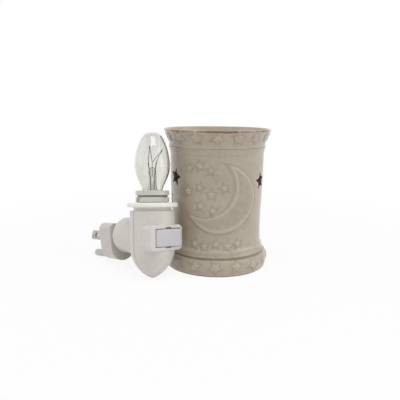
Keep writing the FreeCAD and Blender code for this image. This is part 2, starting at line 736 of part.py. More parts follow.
def make_front_housing():
    outside = housing_outside().common(half_space(True)).fuse(switch_platform())
    pocket = block(
        ROCKER_X - CASE_WIDTH / 2 - FIT_GAP, ROCKER_X + CASE_WIDTH / 2 + FIT_GAP, -CASE_FRONT, 0,
        SWITCH_HEIGHT - CASE_HEIGHT / 2 - FIT_GAP, SWITCH_HEIGHT + CASE_HEIGHT / 2 + FIT_GAP)
    shell = outside.cut(housing_inside())
    posts = [post.common(housing_outside()) for post in screw_posts(True)]
    shell = shell.fuse(posts)
    return shell.cut([pocket, switch_window(), holder_cutter()] + screw_holes())


def switch_window():
    """Opening for the rocker, with a notch at each end of its pivot."""
    window = extruded(
        rounded_plate(WINDOW_WIDTH, WINDOW_HEIGHT, ROCKER_SIDE_GAP, SWITCH_HEIGHT),
        -PLATFORM_FRONT - OVERRUN, -CASE_FRONT + OVERRUN)
    notch = block(
        -NOTCH_WIDTH / 2, NOTCH_WIDTH / 2, -PLATFORM_FRONT - OVERRUN, -CASE_FRONT + OVERRUN,
        SWITCH_HEIGHT - WINDOW_HEIGHT / 2 - NOTCH_DEPTH, SWITCH_HEIGHT + WINDOW_HEIGHT / 2 + NOTCH_DEPTH)
    return window.fuse(notch).translated(Vector(ROCKER_X, 0, 0))


def make_rear_housing():
    outside = housing_outside().fuse(boss_outside()).common(half_space(False))
    shell = outside.cut([housing_inside(), boss_inside()])
    posts = [post.common(housing_outside()) for post in screw_posts(False)]
    shell = shell.fuse(posts)
    bore = rod(
        SPIGOT_RADIUS + SPIGOT_CLEARANCE,
        Vector(0, BOSS_INNER_END - OVERRUN, BOSS_HEIGHT), Vector(0, BOSS_REACH + OVERRUN, BOSS_HEIGHT))
    return shell.cut([bore, holder_cutter()] + screw_holes())


def make_housing_screws():
    screws = []
    for side in (-1, 1):
        x = side * SCREW_OFFSET
        seat = Vector(x, SCREW_SEAT, SCREW_HEIGHT)
        head_top = Vector(x, SCREW_SEAT + SCREW_HEAD_HEIGHT, SCREW_HEIGHT)
        bottom = Vector(x, SCREW_SEAT - SCREW_LENGTH, SCREW_HEIGHT)
        screw = rod(SCREW_SHANK_RADIUS, bottom, seat).fuse(rod(SCREW_HEAD_RADIUS, seat, head_top))
        for turn in (0, FULL_TURN / 4):
            slot = block(
                x - SCREW_HEAD_RADIUS, x + SCREW_HEAD_RADIUS,
                head_top.y - SCREW_SLOT_DEPTH, head_top.y + OVERRUN,
                SCREW_HEIGHT - SCREW_SLOT_WIDTH / 2, SCREW_HEIGHT + SCREW_SLOT_WIDTH / 2)
            slot.rotate(seat, Y_AXIS, turn)
            screw = screw.cut(slot)
        screws.append(screw)
    return Part.makeCompound(screws)


# Lampholder, seat ring and contacts

def make_lampholder():
    outline = Outline(SOCKET_BORE, SOCKET_FLOOR_TOP)
    outline.line(0, SOCKET_FLOOR_TOP)
    outline.line(0, SOCKET_BOTTOM)
    outline.line(SOCKET_BORE + SOCKET_WALL, SOCKET_BOTTOM)
    outline.line(SOCKET_BORE + SOCKET_WALL, ROOF_UNDERSIDE - FLANGE_HEIGHT)
    outline.line(SHELL_RADIUS - SHELL_WALL - FIT_GAP, ROOF_UNDERSIDE - FLANGE_HEIGHT)
    outline.line(SHELL_RADIUS - SHELL_WALL - FIT_GAP, ROOF_UNDERSIDE)
    outline.line(COLLAR_RADIUS, ROOF_UNDERSIDE)
    outline.line(COLLAR_RADIUS, COLLAR_TOP)
    outline.line(HOLDER_CORE_RADIUS, COLLAR_TOP)
    outline.line(HOLDER_CORE_RADIUS, LUG_TOP - LUG_HEIGHT)
    outline.line(HOLDER_RING_RADIUS, LUG_TOP - LUG_HEIGHT)
    outline.line(HOLDER_RING_RADIUS, LUG_TOP - RING_ROUND)
    outline.corner(HOLDER_RING_RADIUS, LUG_TOP, HOLDER_RING_RADIUS - RING_ROUND, LUG_TOP)
    outline.line(HOLDER_CORE_RADIUS, LUG_TOP)
    outline.line(HOLDER_CORE_RADIUS, UPPER_RING_FOOT)
    outline.line(HOLDER_RING_RADIUS, UPPER_RING_FOOT)
    outline.line(HOLDER_RING_RADIUS, HOLDER_HEIGHT - RING_ROUND)
    outline.corner(HOLDER_RING_RADIUS, HOLDER_HEIGHT, HOLDER_RING_RADIUS - RING_ROUND, HOLDER_HEIGHT)
    outline.line(HOLDER_OPENING_RADIUS, HOLDER_HEIGHT)
    outline.line(HOLDER_OPENING_RADIUS, CONTACT_TOP + CONTACT_WALL)
    outline.line(SOCKET_BORE, CONTACT_TOP + CONTACT_WALL)
    holder = outline.turned()
    gaps = []
    for index in range(LUG_COUNT):
        gap = block(
            -LUG_GAP_WIDTH / 2, LUG_GAP_WIDTH / 2,
            -HOLDER_RING_RADIUS - OVERRUN, -HOLDER_CORE_RADIUS, -LUG_HEIGHT, LUG_HEIGHT)
        gap.rotate(ORIGIN, Y_AXIS, LUG_SLOPE)
        gap.translate(Vector(0, 0, LUG_TOP - LUG_HEIGHT / 2))
        gap.rotate(ORIGIN, Z_AXIS, index * FULL_TURN / LUG_COUNT)
        gaps.append(gap)
    band = upright(HOLDER_RING_RADIUS + OVERRUN, LUG_TOP - LUG_HEIGHT, LUG_TOP)
    gaps = [gap.common(band) for gap in gaps]
    return holder.cut(gaps + [shell_tab(FIT_GAP), centre_tab(FIT_GAP)])


def make_seat_ring():
    inner = HOLDER_CORE_RADIUS + FIT_GAP
    top = COLLAR_TOP + SEAT_RING_HEIGHT
    outline = Outline(inner, COLLAR_TOP)
    outline.line(SEAT_RING_RADIUS - SEAT_RING_ROUND, COLLAR_TOP)
    outline.corner(SEAT_RING_RADIUS, COLLAR_TOP, SEAT_RING_RADIUS, COLLAR_TOP + SEAT_RING_ROUND)
    outline.line(SEAT_RING_RADIUS, top - SEAT_RING_ROUND)
    outline.corner(SEAT_RING_RADIUS, top, SEAT_RING_RADIUS - SEAT_RING_ROUND, top)
    outline.line(inner, top)
    return outline.turned()


def shell_tab(clearance):
    """Solder tab of the screw shell contact, through the lampholder's floor."""
    outer = CONTACT_RADIUS + CONTACT_WALL / 2
    return block(
        -TAB_WIDTH / 2 - clearance, TAB_WIDTH / 2 + clearance,
        outer - TAB_THICKNESS - clearance, outer + clearance,
        TAB_BOTTOM, SOCKET_FLOOR_TOP + 2 * TAB_THICKNESS)


def centre_tab(clearance):
    return block(
        -TAB_WIDTH / 2 - clearance, TAB_WIDTH / 2 + clearance,
        -TAB_THICKNESS / 2 - clearance, TAB_THICKNESS / 2 + clearance,
        TAB_BOTTOM, SOCKET_FLOOR_TOP)


def make_screw_shell_contact():
    foot = SOCKET_FLOOR_TOP + TAB_THICKNESS
    tube = upright(CONTACT_RADIUS + CONTACT_WALL, foot, CONTACT_TOP)
    tube = tube.fuse(shell_tab(0))
    return tube.cut(upright(CONTACT_RADIUS, foot - OVERRUN, CONTACT_TOP + OVERRUN))


def make_centre_contact():
    disc = upright(CENTRE_DISC_RADIUS, SOCKET_FLOOR_TOP, BULB_FOOT)
    return disc.fuse(centre_tab(0))


# Bulb

def glass_points(inset):
    """Radius and height along the glass, from its foot in the cap to its top."""
    foot = CAP_TOP - CAP_WALL
    height = BULB_TOP - foot
    points = []
    for radius_share, height_share in GLASS_SHARES:
        radius = BULB_RADIUS * radius_share
        scale = (radius - inset) / radius if radius > 0 else 0
        points.append((radius * scale, foot + height * height_share))
    points[-1] = (0, BULB_TOP - inset)
    return points


def glass_solid(inset):
    points = glass_points(inset)
    outline = Outline(0, points[0][1])
    outline.line(*points[0])
    outline.curve(points[1:])
    return outline.turned()


def make_bulb_glass():
    return glass_solid(0).cut(glass_solid(GLASS_WALL))


def make_bulb_cap():
    crest = CAP_RADIUS
    root = CAP_RADIUS - CAP_THREAD_DEPTH
    outline = Outline(root - CAP_WALL, CAP_FOOT)
    outline.line(root, CAP_FOOT)
    height = CAP_FOOT + CAP_THREAD_PITCH / 2
    outline.line(root, height)
    for turn in range(CAP_THREAD_TURNS):
        outline.arc(crest, height + CAP_THREAD_PITCH / 2, root, height + CAP_THREAD_PITCH)
        height = height + CAP_THREAD_PITCH
    outline.line(root, height + CAP_THREAD_DEPTH)
    outline.line(crest, height + 2 * CAP_THREAD_DEPTH)
    outline.line(crest, CAP_TOP - CAP_WALL)
    outline.line(root - CAP_WALL, CAP_TOP - CAP_WALL)
    return outline.turned()


def make_bulb_insulator():
    foot = BULB_FOOT + TIP_CONTACT_HEIGHT
    top = CAP_RADIUS - CAP_THREAD_DEPTH - CAP_WALL
    outline = Outline(0, foot)
    outline.line(INSULATOR_RADIUS, foot)
    outline.line(top, CAP_FOOT)
    outline.line(top, CAP_FOOT + CAP_WALL)
    outline.line(0, CAP_FOOT + CAP_WALL)
    return outline.turned()


def make_bulb_tip_contact():
    foot_radius = TIP_CONTACT_RADIUS * 0.6
    outline = Outline(0, BULB_FOOT)
    outline.line(foot_radius, BULB_FOOT)
    outline.arc(
        TIP_CONTACT_RADIUS * 0.92, BULB_FOOT + TIP_CONTACT_HEIGHT * 0.4,
        TIP_CONTACT_RADIUS, BULB_FOOT + TIP_CONTACT_HEIGHT)
    outline.line(0, BULB_FOOT + TIP_CONTACT_HEIGHT)
    return outline.turned()


def make_bulb_stem():
    foot = CAP_TOP - CAP_WALL + GLASS_WALL
    top = CAP_TOP + STEM_HEIGHT
    outline = Outline(0, foot)
    outline.line(STEM_FOOT_RADIUS, foot)
    outline.curve([
        (STEM_RADIUS, foot + STEM_FOOT_RADIUS),
        (STEM_RADIUS * 0.85, foot + (top - foot) * 0.55),
        (STEM_RADIUS * 0.8, top - STEM_RADIUS * 0.8),
    ])
    outline.corner(STEM_RADIUS * 0.8, top, 0, top)
    stem = outline.turned()
    holes = [lead(side, LEAD_RADIUS + FIT_GAP) for side in (-1, 1)]
    holes.append(support(FIT_GAP))
    return stem.cut(holes)


def wire_point(across, height):
    """A point in the plane of the leads."""
    turn = math.radians(LEAD_TURN)
    return Vector(across * math.cos(turn), across * math.sin(turn), height)


def lead(side, radius):
    """A lead wire: up through the stem, then out to the side."""
    low = CAP_TOP - CAP_WALL + GLASS_WALL
    bend = CAP_TOP + STEM_HEIGHT * 0.55
    top = CAP_TOP + LEAD_HEIGHT
    inner = LEAD_SPREAD * 0.42
    lower = rod(radius, wire_point(side * inner, low), wire_point(side * inner, bend))
    joint = Part.makeSphere(radius, wire_point(side * inner, bend))
    upper = rod(radius, wire_point(side * inner, bend), wire_point(side * LEAD_SPREAD, top))
    return lower.fuse([joint, upper])


def make_lead_wires():
    return Part.makeCompound([lead(side, LEAD_RADIUS) for side in (-1, 1)])


def support(clearance):
    """The thin centre support that holds the filament's middle."""
    low = CAP_TOP + STEM_HEIGHT * 0.6
    return upright(SUPPORT_RADIUS + clearance, low, CAP_TOP + SUPPORT_HEIGHT)


def make_filament_support():
    return support(0)


def filament_points():
    """Lead, high point, middle support, high point, lead."""
    low = CAP_TOP + LEAD_HEIGHT + FILAMENT_RADIUS
    middle = CAP_TOP + SUPPORT_HEIGHT + FILAMENT_RADIUS
    return [
        wire_point(-LEAD_SPREAD, low),
        wire_point(-FILAMENT_LEFT, low + FILAMENT_LEFT_RISE),
        wire_point(0, middle),
        wire_point(FILAMENT_RIGHT, low + FILAMENT_RIGHT_RISE),
        wire_point(LEAD_SPREAD, low),
    ]


def make_filament():
    points = filament_points()
    runs = [rod(FILAMENT_RADIUS, start, end) for start, end in zip(points, points[1:])]
    balls = [Part.makeSphere(FILAMENT_RADIUS, point) for point in points]
    return runs[0].fuse(runs[1:] + balls)


# Switch

def make_switch_case():
    body = block(
        -CASE_WIDTH / 2, CASE_WIDTH / 2, -CASE_FRONT, -CASE_BACK,
        SWITCH_HEIGHT - CASE_HEIGHT / 2, SWITCH_HEIGHT + CASE_HEIGHT / 2)
    cavity = block(
        -WINDOW_WIDTH / 2, WINDOW_WIDTH / 2, -CASE_FRONT - OVERRUN, -CASE_BACK - CASE_FLOOR,
        SWITCH_HEIGHT - WINDOW_HEIGHT / 2, SWITCH_HEIGHT + WINDOW_HEIGHT / 2)
    pivot_half = ROCKER_HEIGHT / 2 + ROCKER_SIDE_GAP + PIVOT_REACH + PIVOT_CLEARANCE
    pivot = upright(
        PIVOT_RADIUS + PIVOT_CLEARANCE,
        SWITCH_HEIGHT - pivot_half, SWITCH_HEIGHT + pivot_half, 0, -PIVOT_FRONT)
    slots = [terminal(side, FIT_GAP) for side in (-1, 1)]
    return body.cut([cavity, pivot] + slots).translated(Vector(ROCKER_X, 0, 0))


def terminal(side, clearance):
    x = side * TERMINAL_OFFSET
    return block(
        x - TERMINAL_THICKNESS / 2 - clearance, x + TERMINAL_THICKNESS / 2 + clearance,
        -CASE_BACK - CASE_FLOOR, TERMINAL_END,
        SWITCH_HEIGHT - TERMINAL_WIDTH / 2 - clearance, SWITCH_HEIGHT + TERMINAL_WIDTH / 2 + clearance)


def make_switch_terminals():
    return Part.makeCompound([terminal(side, 0) for side in (-1, 1)]).translated(Vector(ROCKER_X, 0, 0))


def rocker_outline():
    """The rocker seen along its pivot: X along its width, Z away from the pivot."""
    half = ROCKER_WIDTH / 2
    ridge = ROCKER_PIVOT_DEPTH
    end = ridge + ROCKER_RIDGE_DROP
    back = end - ROCKER_THICKNESS
    outline = Outline(-half, back)
    outline.line(-half, end - ROCKER_EDGE_ROUND)
    outline.line(ROCKER_EDGE_ROUND - half, end)
    outline.line(0, ridge)
    outline.line(half - ROCKER_EDGE_ROUND, end)
    outline.line(half, end - ROCKER_EDGE_ROUND)
    outline.line(half, back)
    outline.line(PIVOT_RADIUS, -PIVOT_RADIUS)
    outline.line(-PIVOT_RADIUS, -PIVOT_RADIUS)
    return outline.face()


def make_rocker():
    half = ROCKER_HEIGHT / 2
    body = extruded(rocker_outline(), -half, half)
    body.rotate(ORIGIN, X_AXIS, FULL_TURN / 4)
    reach = half + ROCKER_SIDE_GAP + PIVOT_REACH
    body = body.fuse(upright(PIVOT_RADIUS, -reach, reach))
    body.rotate(ORIGIN, Z_AXIS, -ROCKER_TILT)
    body.translate(Vector(ROCKER_X, -PIVOT_FRONT, SWITCH_HEIGHT))
    return body


# Swivel plug

def plug_outline():
    """The plug's face about the swivel axis: two upper corners and a round foot."""
    corner_x = PLUG_WIDTH / 2 - PLUG_CORNER_ROUND
    corner = Vector(corner_x, 0, PLUG_TOP - PLUG_CORNER_ROUND)
    foot = Vector(0, 0, PLUG_FOOT_ROUND - PLUG_FOOT)
    between = foot - corner
    lean = math.atan2(between.z, between.x)
    turn = math.acos((PLUG_CORNER_ROUND - PLUG_FOOT_ROUND) / between.Length)
    normal_angle = lean + turn
    normal = Vector(math.cos(normal_angle), 0, math.sin(normal_angle))
    side_top = corner + normal * PLUG_CORNER_ROUND
    side_foot = foot + normal * PLUG_FOOT_ROUND
    half_angle = (normal_angle + math.pi / 2) / 2
    arc_middle = corner + Vector(math.cos(half_angle), 0, math.sin(half_angle)) * PLUG_CORNER_ROUND
    outline = Outline(-corner_x, PLUG_TOP)
    outline.line(corner_x, PLUG_TOP)
    outline.arc(arc_middle.x, arc_middle.z, side_top.x, side_top.z)
    outline.line(side_foot.x, side_foot.z)
    outline.arc(0, -PLUG_FOOT, -side_foot.x, side_foot.z)
    outline.line(-side_top.x, side_top.z)
    outline.arc(-arc_middle.x, arc_middle.z, -corner_x, PLUG_TOP)
    return outline.face()


def make_plug_body():
    face = plug_outline().translated(Vector(0, 0, BOSS_HEIGHT))
    body = extruded(face, PLUG_BACK, PLUG_FACE)
    body = body.makeFillet(PLUG_EDGE_ROUND, face_edges(body, PLUG_FACE))
    spigot = rod(SPIGOT_RADIUS, Vector(0, SPIGOT_END, BOSS_HEIGHT), Vector(0, PLUG_BACK, BOSS_HEIGHT))
    body = body.fuse(spigot)
    groove_front = BOSS_INNER_END - RETAINER_PLAY
    groove_back = groove_front - RETAINER_THICKNESS
    groove = retainer_ring(SPIGOT_RADIUS - RETAINER_GROOVE, SPIGOT_RADIUS + OVERRUN, groove_back, groove_front)
    slots = [blade_blank(side) for side in (-1, 1)]
    return body.cut([groove, make_ground_pin()] + slots)


def retainer_ring(inner, outer, low_y, high_y):
    start = Vector(0, low_y, BOSS_HEIGHT)
    end = Vector(0, high_y, BOSS_HEIGHT)
    return rod(outer, start, end).cut(rod(inner, start, end))


def make_swivel_retainer():
    front = BOSS_INNER_END - RETAINER_PLAY
    return retainer_ring(SPIGOT_RADIUS - RETAINER_GROOVE, RETAINER_RADIUS, front - RETAINER_THICKNESS, front)


def slip_ring(radius):
    return retainer_ring(radius - SLIP_WIDTH / 2, radius + SLIP_WIDTH / 2, SLIP_FACE, SPIGOT_END)


def blade_blank(side):
    """A blade with its root in the plug."""
    x = side * BLADE_SPACING / 2
    z = BOSS_HEIGHT - BLADE_DROP
    blank = block(
        x - BLADE_THICKNESS / 2, x + BLADE_THICKNESS / 2,
        PLUG_FACE - BLADE_ROOT, PLUG_FACE + BLADE_LENGTH,
        z - BLADE_WIDTH / 2, z + BLADE_WIDTH / 2)
    tip_edges = [edge for edge in blank.Edges
                 if edge.BoundBox.YMin > PLUG_FACE and edge.BoundBox.XLength > BLADE_THICKNESS / 2]
    return blank.makeChamfer(BLADE_TIP_CHAMFER, tip_edges)


def make_blade(side):
    x = side * BLADE_SPACING / 2
    z = BOSS_HEIGHT - BLADE_DROP
    hole = rod(
        BLADE_HOLE_RADIUS,
        Vector(x - BLADE_THICKNESS, PLUG_FACE + BLADE_HOLE_REACH, z),
        Vector(x + BLADE_THICKNESS, PLUG_FACE + BLADE_HOLE_REACH, z))
    return blade_blank(side).cut(hole)


def make_ground_pin():
    z = BOSS_HEIGHT - BLADE_DROP - GROUND_DROP
    tip = Vector(0, PLUG_FACE + GROUND_LENGTH - GROUND_RADIUS, z)
    foot = Vector(0, PLUG_FACE, z)
    root = rod(GROUND_ROOT_RADIUS, Vector(0, PLUG_FACE - GROUND_ROOT, z), foot)
    return root.fuse([rod(GROUND_RADIUS, foot, tip), Part.makeSphere(GROUND_RADIUS, tip)])


# Swivel contacts

def make_brush_holder():
    start = Vector(0, BRUSH_FOOT - BRUSH_HOLDER_THICKNESS, BOSS_HEIGHT)
    end = Vector(0, BRUSH_FOOT, BOSS_HEIGHT)
    return rod(BOSS_RADIUS - SHELL_WALL - FIT_GAP, start, end)


def brush(radius):
    start = Vector(radius, BRUSH_FOOT, BOSS_HEIGHT)
    return rod(BRUSH_RADIUS, start, Vector(radius, SLIP_FACE, BOSS_HEIGHT))


# Wires

def tube(points, radius):
    """A round tube along straight runs joined by tangent arcs."""
    edges = []
    last = points[0]
    for before, point, after in zip(points, points[1:], points[2:]):
        back = (before - point).normalize()
        ahead = (after - point).normalize()
        shorter = min(before.distanceToPoint(point), point.distanceToPoint(after))
        reach = shorter * WIRE_BEND_SHARE
        half_angle = back.getAngle(ahead) / 2
        bend = reach * math.tan(half_angle)
        towards = (back + ahead).normalize()
        centre = point + towards * (bend / math.sin(half_angle))
        start = point + back * reach
        end = point + ahead * reach
        middle = centre - towards * bend
        edges.append(Part.LineSegment(last, start).toShape())
        edges.append(Part.Arc(start, middle, end).toShape())
        last = end
    edges.append(Part.LineSegment(last, points[-1]).toShape())
    path = Part.Wire(edges)
    ring = Part.Wire(Part.Circle(points[0], points[1] - points[0], radius).toShape())
    return path.makePipeShell([ring], True, True)


def make_line_wire():
    back = BRUSH_FOOT - BRUSH_HOLDER_THICKNESS
    return tube([
        Vector(SLIP_LINE_RADIUS, back, BOSS_HEIGHT),
        Vector(SLIP_LINE_RADIUS, back * 0.45, BOSS_HEIGHT),
        Vector(ROCKER_X + TERMINAL_OFFSET, back * 0.25, SWITCH_HEIGHT),
        Vector(ROCKER_X + TERMINAL_OFFSET, TERMINAL_END, SWITCH_HEIGHT),
    ], WIRE_RADIUS)


def make_switched_wire():
    clear = TERMINAL_WIDTH
    return tube([
        Vector(ROCKER_X - TERMINAL_OFFSET, TERMINAL_END, SWITCH_HEIGHT),
        Vector(ROCKER_X - TERMINAL_OFFSET, clear, SWITCH_HEIGHT),
        Vector(-TAB_WIDTH / 2, clear * 0.5, SWITCH_HEIGHT + TAB_THICKNESS),
        Vector(0, 0, TAB_BOTTOM - TAB_DROP * 0.5),
        Vector(0, 0, TAB_BOTTOM),
    ], WIRE_RADIUS)


def make_neutral_wire():
    back = BRUSH_FOOT - BRUSH_HOLDER_THICKNESS
    tab_y = CONTACT_RADIUS + CONTACT_WALL / 2 - TAB_THICKNESS / 2
    return tube([
        Vector(-SLIP_NEUTRAL_RADIUS, back, BOSS_HEIGHT),
        Vector(-SLIP_NEUTRAL_RADIUS, back * 0.8, BOSS_HEIGHT),
        Vector(0, tab_y, BOSS_HEIGHT + SHELL_WALL * 3),
        Vector(0, tab_y, TAB_BOTTOM),
    ], WIRE_RADIUS)


CERAMIC_PARTS = {
    "shade_body": make_shade_body,
    "wax_dish": make_wax_dish,
}

LAMP_PARTS = {
    "front_housing": make_front_housing,
    "rear_housing": make_rear_housing,
    "housing_screws": make_housing_screws,
    "lampholder": make_lampholder,
    "seat_ring": make_seat_ring,
    "screw_shell_contact": make_screw_shell_contact,
    "centre_contact": make_centre_contact,
    "bulb_glass": make_bulb_glass,
    "bulb_cap": make_bulb_cap,
    "bulb_insulator": make_bulb_insulator,
    "bulb_tip_contact": make_bulb_tip_contact,
    "bulb_stem": make_bulb_stem,
    "lead_wires": make_lead_wires,
    "filament_support": make_filament_support,
    "filament": make_filament,
    "switch_case": make_switch_case,
    "switch_terminals": make_switch_terminals,
    "rocker": make_rocker,
    "brush_holder": make_brush_holder,
    "brush_line": lambda: brush(SLIP_LINE_RADIUS),
    "brush_neutral": lambda: brush(-SLIP_NEUTRAL_RADIUS),
    "line_wire": make_line_wire,
    "switched_wire": make_switched_wire,
    "neutral_wire": make_neutral_wire,
}

PLUG_PARTS = {
    "plug_body": make_plug_body,
    "swivel_retainer": make_swivel_retainer,
    "slip_ring_line": lambda: slip_ring(SLIP_LINE_RADIUS),
    "slip_ring_neutral": lambda: slip_ring(SLIP_NEUTRAL_RADIUS),
    "line_blade": lambda: make_blade(1),
    "neutral_blade": lambda: make_blade(-1),
    "ground_pin": make_ground_pin,
}


def write(name, shape):
    shape.exportStep(os.path.join("parts", name + ".step"))
    print(name, "solids", len(shape.Solids), "volume", round(shape.Volume), "valid", shape.isValid())


os.makedirs("parts", exist_ok=True)
for name, make in CERAMIC_PARTS.items():
    write(name, make())
for name, make in LAMP_PARTS.items():
    write(name, in_lamp_place(make()))
for name, make in PLUG_PARTS.items():
    write(name, in_plug_place(make()))
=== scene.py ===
# %% [markdown]
# # A wax melt warmer: ceramic shade, wax dish and plug-in lamp unit
# The frame already holds every solid of the warmer at its real size. This notebook gives each of
# them a finish, and makes new surfaces for what needs a softer or finer shape: the glazed ceramic,
# the bulb's glass and the wires inside it. Shapes are in millimetres and become metres in the mesh.
# The camera, the lamps and the sizes of noise are in metres.

# %% Load the frame
import math
import bmesh
import bpy
import numpy as np
from mathutils import Matrix, Vector


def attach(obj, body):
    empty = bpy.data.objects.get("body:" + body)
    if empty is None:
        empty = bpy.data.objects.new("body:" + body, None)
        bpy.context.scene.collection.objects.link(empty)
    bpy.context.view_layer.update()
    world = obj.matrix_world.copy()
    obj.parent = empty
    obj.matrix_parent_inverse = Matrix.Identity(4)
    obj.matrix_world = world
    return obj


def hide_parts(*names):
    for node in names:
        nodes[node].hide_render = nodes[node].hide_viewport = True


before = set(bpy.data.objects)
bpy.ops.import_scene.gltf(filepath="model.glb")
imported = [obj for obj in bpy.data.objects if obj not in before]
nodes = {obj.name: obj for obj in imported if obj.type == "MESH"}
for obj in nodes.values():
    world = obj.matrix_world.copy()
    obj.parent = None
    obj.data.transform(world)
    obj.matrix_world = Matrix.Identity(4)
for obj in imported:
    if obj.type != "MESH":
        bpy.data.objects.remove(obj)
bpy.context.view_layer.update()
MM = 0.001    # a millimetre in metres
scene = bpy.context.scene


def placed(name, data):
    """A new object of the scene for a mesh, lamp or camera."""
    piece = bpy.data.objects.new(name, data)
    scene.collection.objects.link(piece)
    return piece


# %% [markdown]
# ## Camera
# The picture was taken from a little above the shade's middle, about 33 cm away, looking down by
# eleven degrees. A new camera looks straight down. Three turns aim it, the last one written first:
# it is rolled about its own line of sight, tipped up, and then turned about the vertical.

# %% Camera
PITCH_DOWN, YAW, ROLL = 10.8485, -1.9504, 0.5658    # degrees
CAMERA_PLACE = (0.0, -0.32981, 0.107126)
FOCAL_PIXELS, PICTURE_PIXELS = 485.03, 400
SENSOR = 36.0

camera = placed("camera", bpy.data.cameras.new("camera"))
camera.data.sensor_width = SENSOR
camera.data.lens = FOCAL_PIXELS / PICTURE_PIXELS * SENSOR
camera.data.clip_start = 0.01
camera.matrix_world = Matrix.Translation(CAMERA_PLACE)
for degrees, axis in ((-YAW, "Z"), (90 - PITCH_DOWN, "X"), (ROLL, "Z")):
    camera.matrix_world = camera.matrix_world @ Matrix.Rotation(math.radians(degrees), 4, axis)
scene.camera = camera
print("lens:", round(camera.data.lens, 2), "mm")

# %% [markdown]
# ## Floor, world and lamps
# The warmer stands on white in even studio light. The floor is a matt white sheet that the camera
# sees as nearly white paper, so only a faint shadow stays on it. Large area lamps on both sides
# and above wrap round the glaze, and the world fills in the rest.

# %% Colour and node helpers
WHITE = (1, 1, 1, 1)


def tone(red, green, blue):
    """Display values from 0 to 255 as the linear colour that a shader takes: the 2.4 power curve
    over 4 percent, and a straight line below it."""
    values = np.array([red, green, blue]) / 255
    curved = ((values + 0.055) / 1.055) ** 2.4
    linear = np.where(values > 0.04045, curved, values / 12.92)
    return (*[float(value) for value in linear], 1.0)


def feed(tree, socket, value):
    """Links a socket to another one, or types a fixed value into it."""
    if isinstance(value, bpy.types.NodeSocket):
        tree.links.new(value, socket)
    else:
        socket.default_value = value


def fed(tree, node, **values):
    """A node with its sockets linked or filled by name; _ stands for a space."""
    for name, value in values.items():
        feed(tree, node.inputs[name.replace("_", " ")], value)
    return node


def added(tree, kind, **values):
    """A new node, with its sockets linked or filled."""
    return fed(tree, tree.nodes.new(kind), **values)


def reckoned(tree, operation, *values):
    """The outcome of one Math node for sockets or numbers."""
    node = added(tree, "ShaderNodeMath")
    node.operation = operation
    for socket, value in zip(node.inputs, values):
        feed(tree, socket, value)
    return node.outputs[0]


def ranged(tree, value, start, end, way="LINEAR"):
    """A value stretched from the range start to the range end, and held at both ends."""
    node = added(tree, "ShaderNodeMapRange", Value=value, From_Min=start[0], From_Max=start[1],
                 To_Min=end[0], To_Max=end[1])
    node.interpolation_type = way
    return node.outputs["Result"]


def place_number(tree, operation, direction=(0, 0, 0)):
    """The length of the Object coordinates, or their dot product with a direction."""
    node = added(tree, "ShaderNodeVectorMath")
    node.operation = operation
    node.inputs[1].default_value = direction
    place = added(tree, "ShaderNodeTexCoord").outputs["Object"]
    tree.links.new(place, node.inputs[0])
    return node.outputs["Value"]


def direct_rays(tree):
    """1 for a ray from the camera, off a shiny surface or through glass, and 0 for any other."""
    path = added(tree, "ShaderNodeLightPath")
    largest = path.outputs["Is Camera Ray"]
    for kind in ("Is Transmission Ray", "Is Glossy Ray"):
        largest = reckoned(tree, "MAXIMUM", largest, path.outputs[kind])
    return largest


def emptied(owner):
    """The node tree of a material or a world, with nothing in it."""
    owner.use_nodes = True
    owner.node_tree.nodes.clear()
    return owner.node_tree


def two_shaders(tree, share, lit, seen, output_kind):
    """Ends a tree with two shaders: lit where the share is 0, seen where it is 1."""
    mix = added(tree, "ShaderNodeMixShader")
    for socket, node in zip(mix.inputs, (share, lit.outputs[0], seen.outputs[0])):
        tree.links.new(node, socket)
    added(tree, output_kind, Surface=mix.outputs[0])


# %% World
WORLD_LEVEL = 0.45    # how strongly the world lights; whoever looks at it sees 1

scene.view_settings.view_transform = "Standard"
scene.world = bpy.data.worlds.new("studio")
tree = emptied(scene.world)
light = added(tree, "ShaderNodeBackground", Color=WHITE, Strength=WORLD_LEVEL)
seen = added(tree, "ShaderNodeBackground", Color=WHITE, Strength=1.0)
two_shaders(tree, direct_rays(tree), light, seen, "ShaderNodeOutputWorld")
print("world level:", WORLD_LEVEL)

# %% Floor
FLOOR_HALF = 6000.0
FLOOR_WHITE = (0.95, 0.95, 0.95, 1)
PAPER_SHARE = 0.9    # how much of the floor's white is plain paper near the warmer
NEAR_FLOOR, FAR_FLOOR = 0.12, 0.35    # metres, between which the share grows to 1


def meshed(name, points, faces):
    """An object with these faces. The points are in millimetres."""
    mesh = bpy.data.meshes.new(name)
    mesh.from_pydata((points * MM).tolist(), [], faces)
    return placed(name, mesh)


corners = FLOOR_HALF * np.array([(-1, -1, 0), (1, -1, 0), (1, 1, 0), (-1, 1, 0)])
floor = meshed("floor", corners, [(0, 1, 2, 3)])
paper = bpy.data.materials.new("white_paper")
tree = emptied(paper)
matt = added(tree, "ShaderNodeBsdfDiffuse", Color=FLOOR_WHITE)
glow = added(tree, "ShaderNodeEmission", Color=WHITE, Strength=1.0)
paper_share = ranged(tree, place_number(tree, "LENGTH"), (NEAR_FLOOR, FAR_FLOOR),
                     (PAPER_SHARE, 1.0), "SMOOTHSTEP")
paper_share = reckoned(tree, "MULTIPLY", direct_rays(tree), paper_share)
two_shaders(tree, paper_share, matt, glow, "ShaderNodeOutputMaterial")
floor.data.materials.append(paper)
print("floor:", 2 * FLOOR_HALF * MM, "m wide")

# %% Lamps
LAMPS = (    # name, place, side, power in watts
    ("left_window", (-0.80, -0.10, 0.45), 0.7, 1.5),
    ("right_window", (0.80, -0.15, 0.40), 0.7, 1.8),
    ("top_panel", (0.10, -0.30, 0.90), 0.5, 2.9),
)
LAMP_AIM = Vector((0.0, 0.0, 0.045))

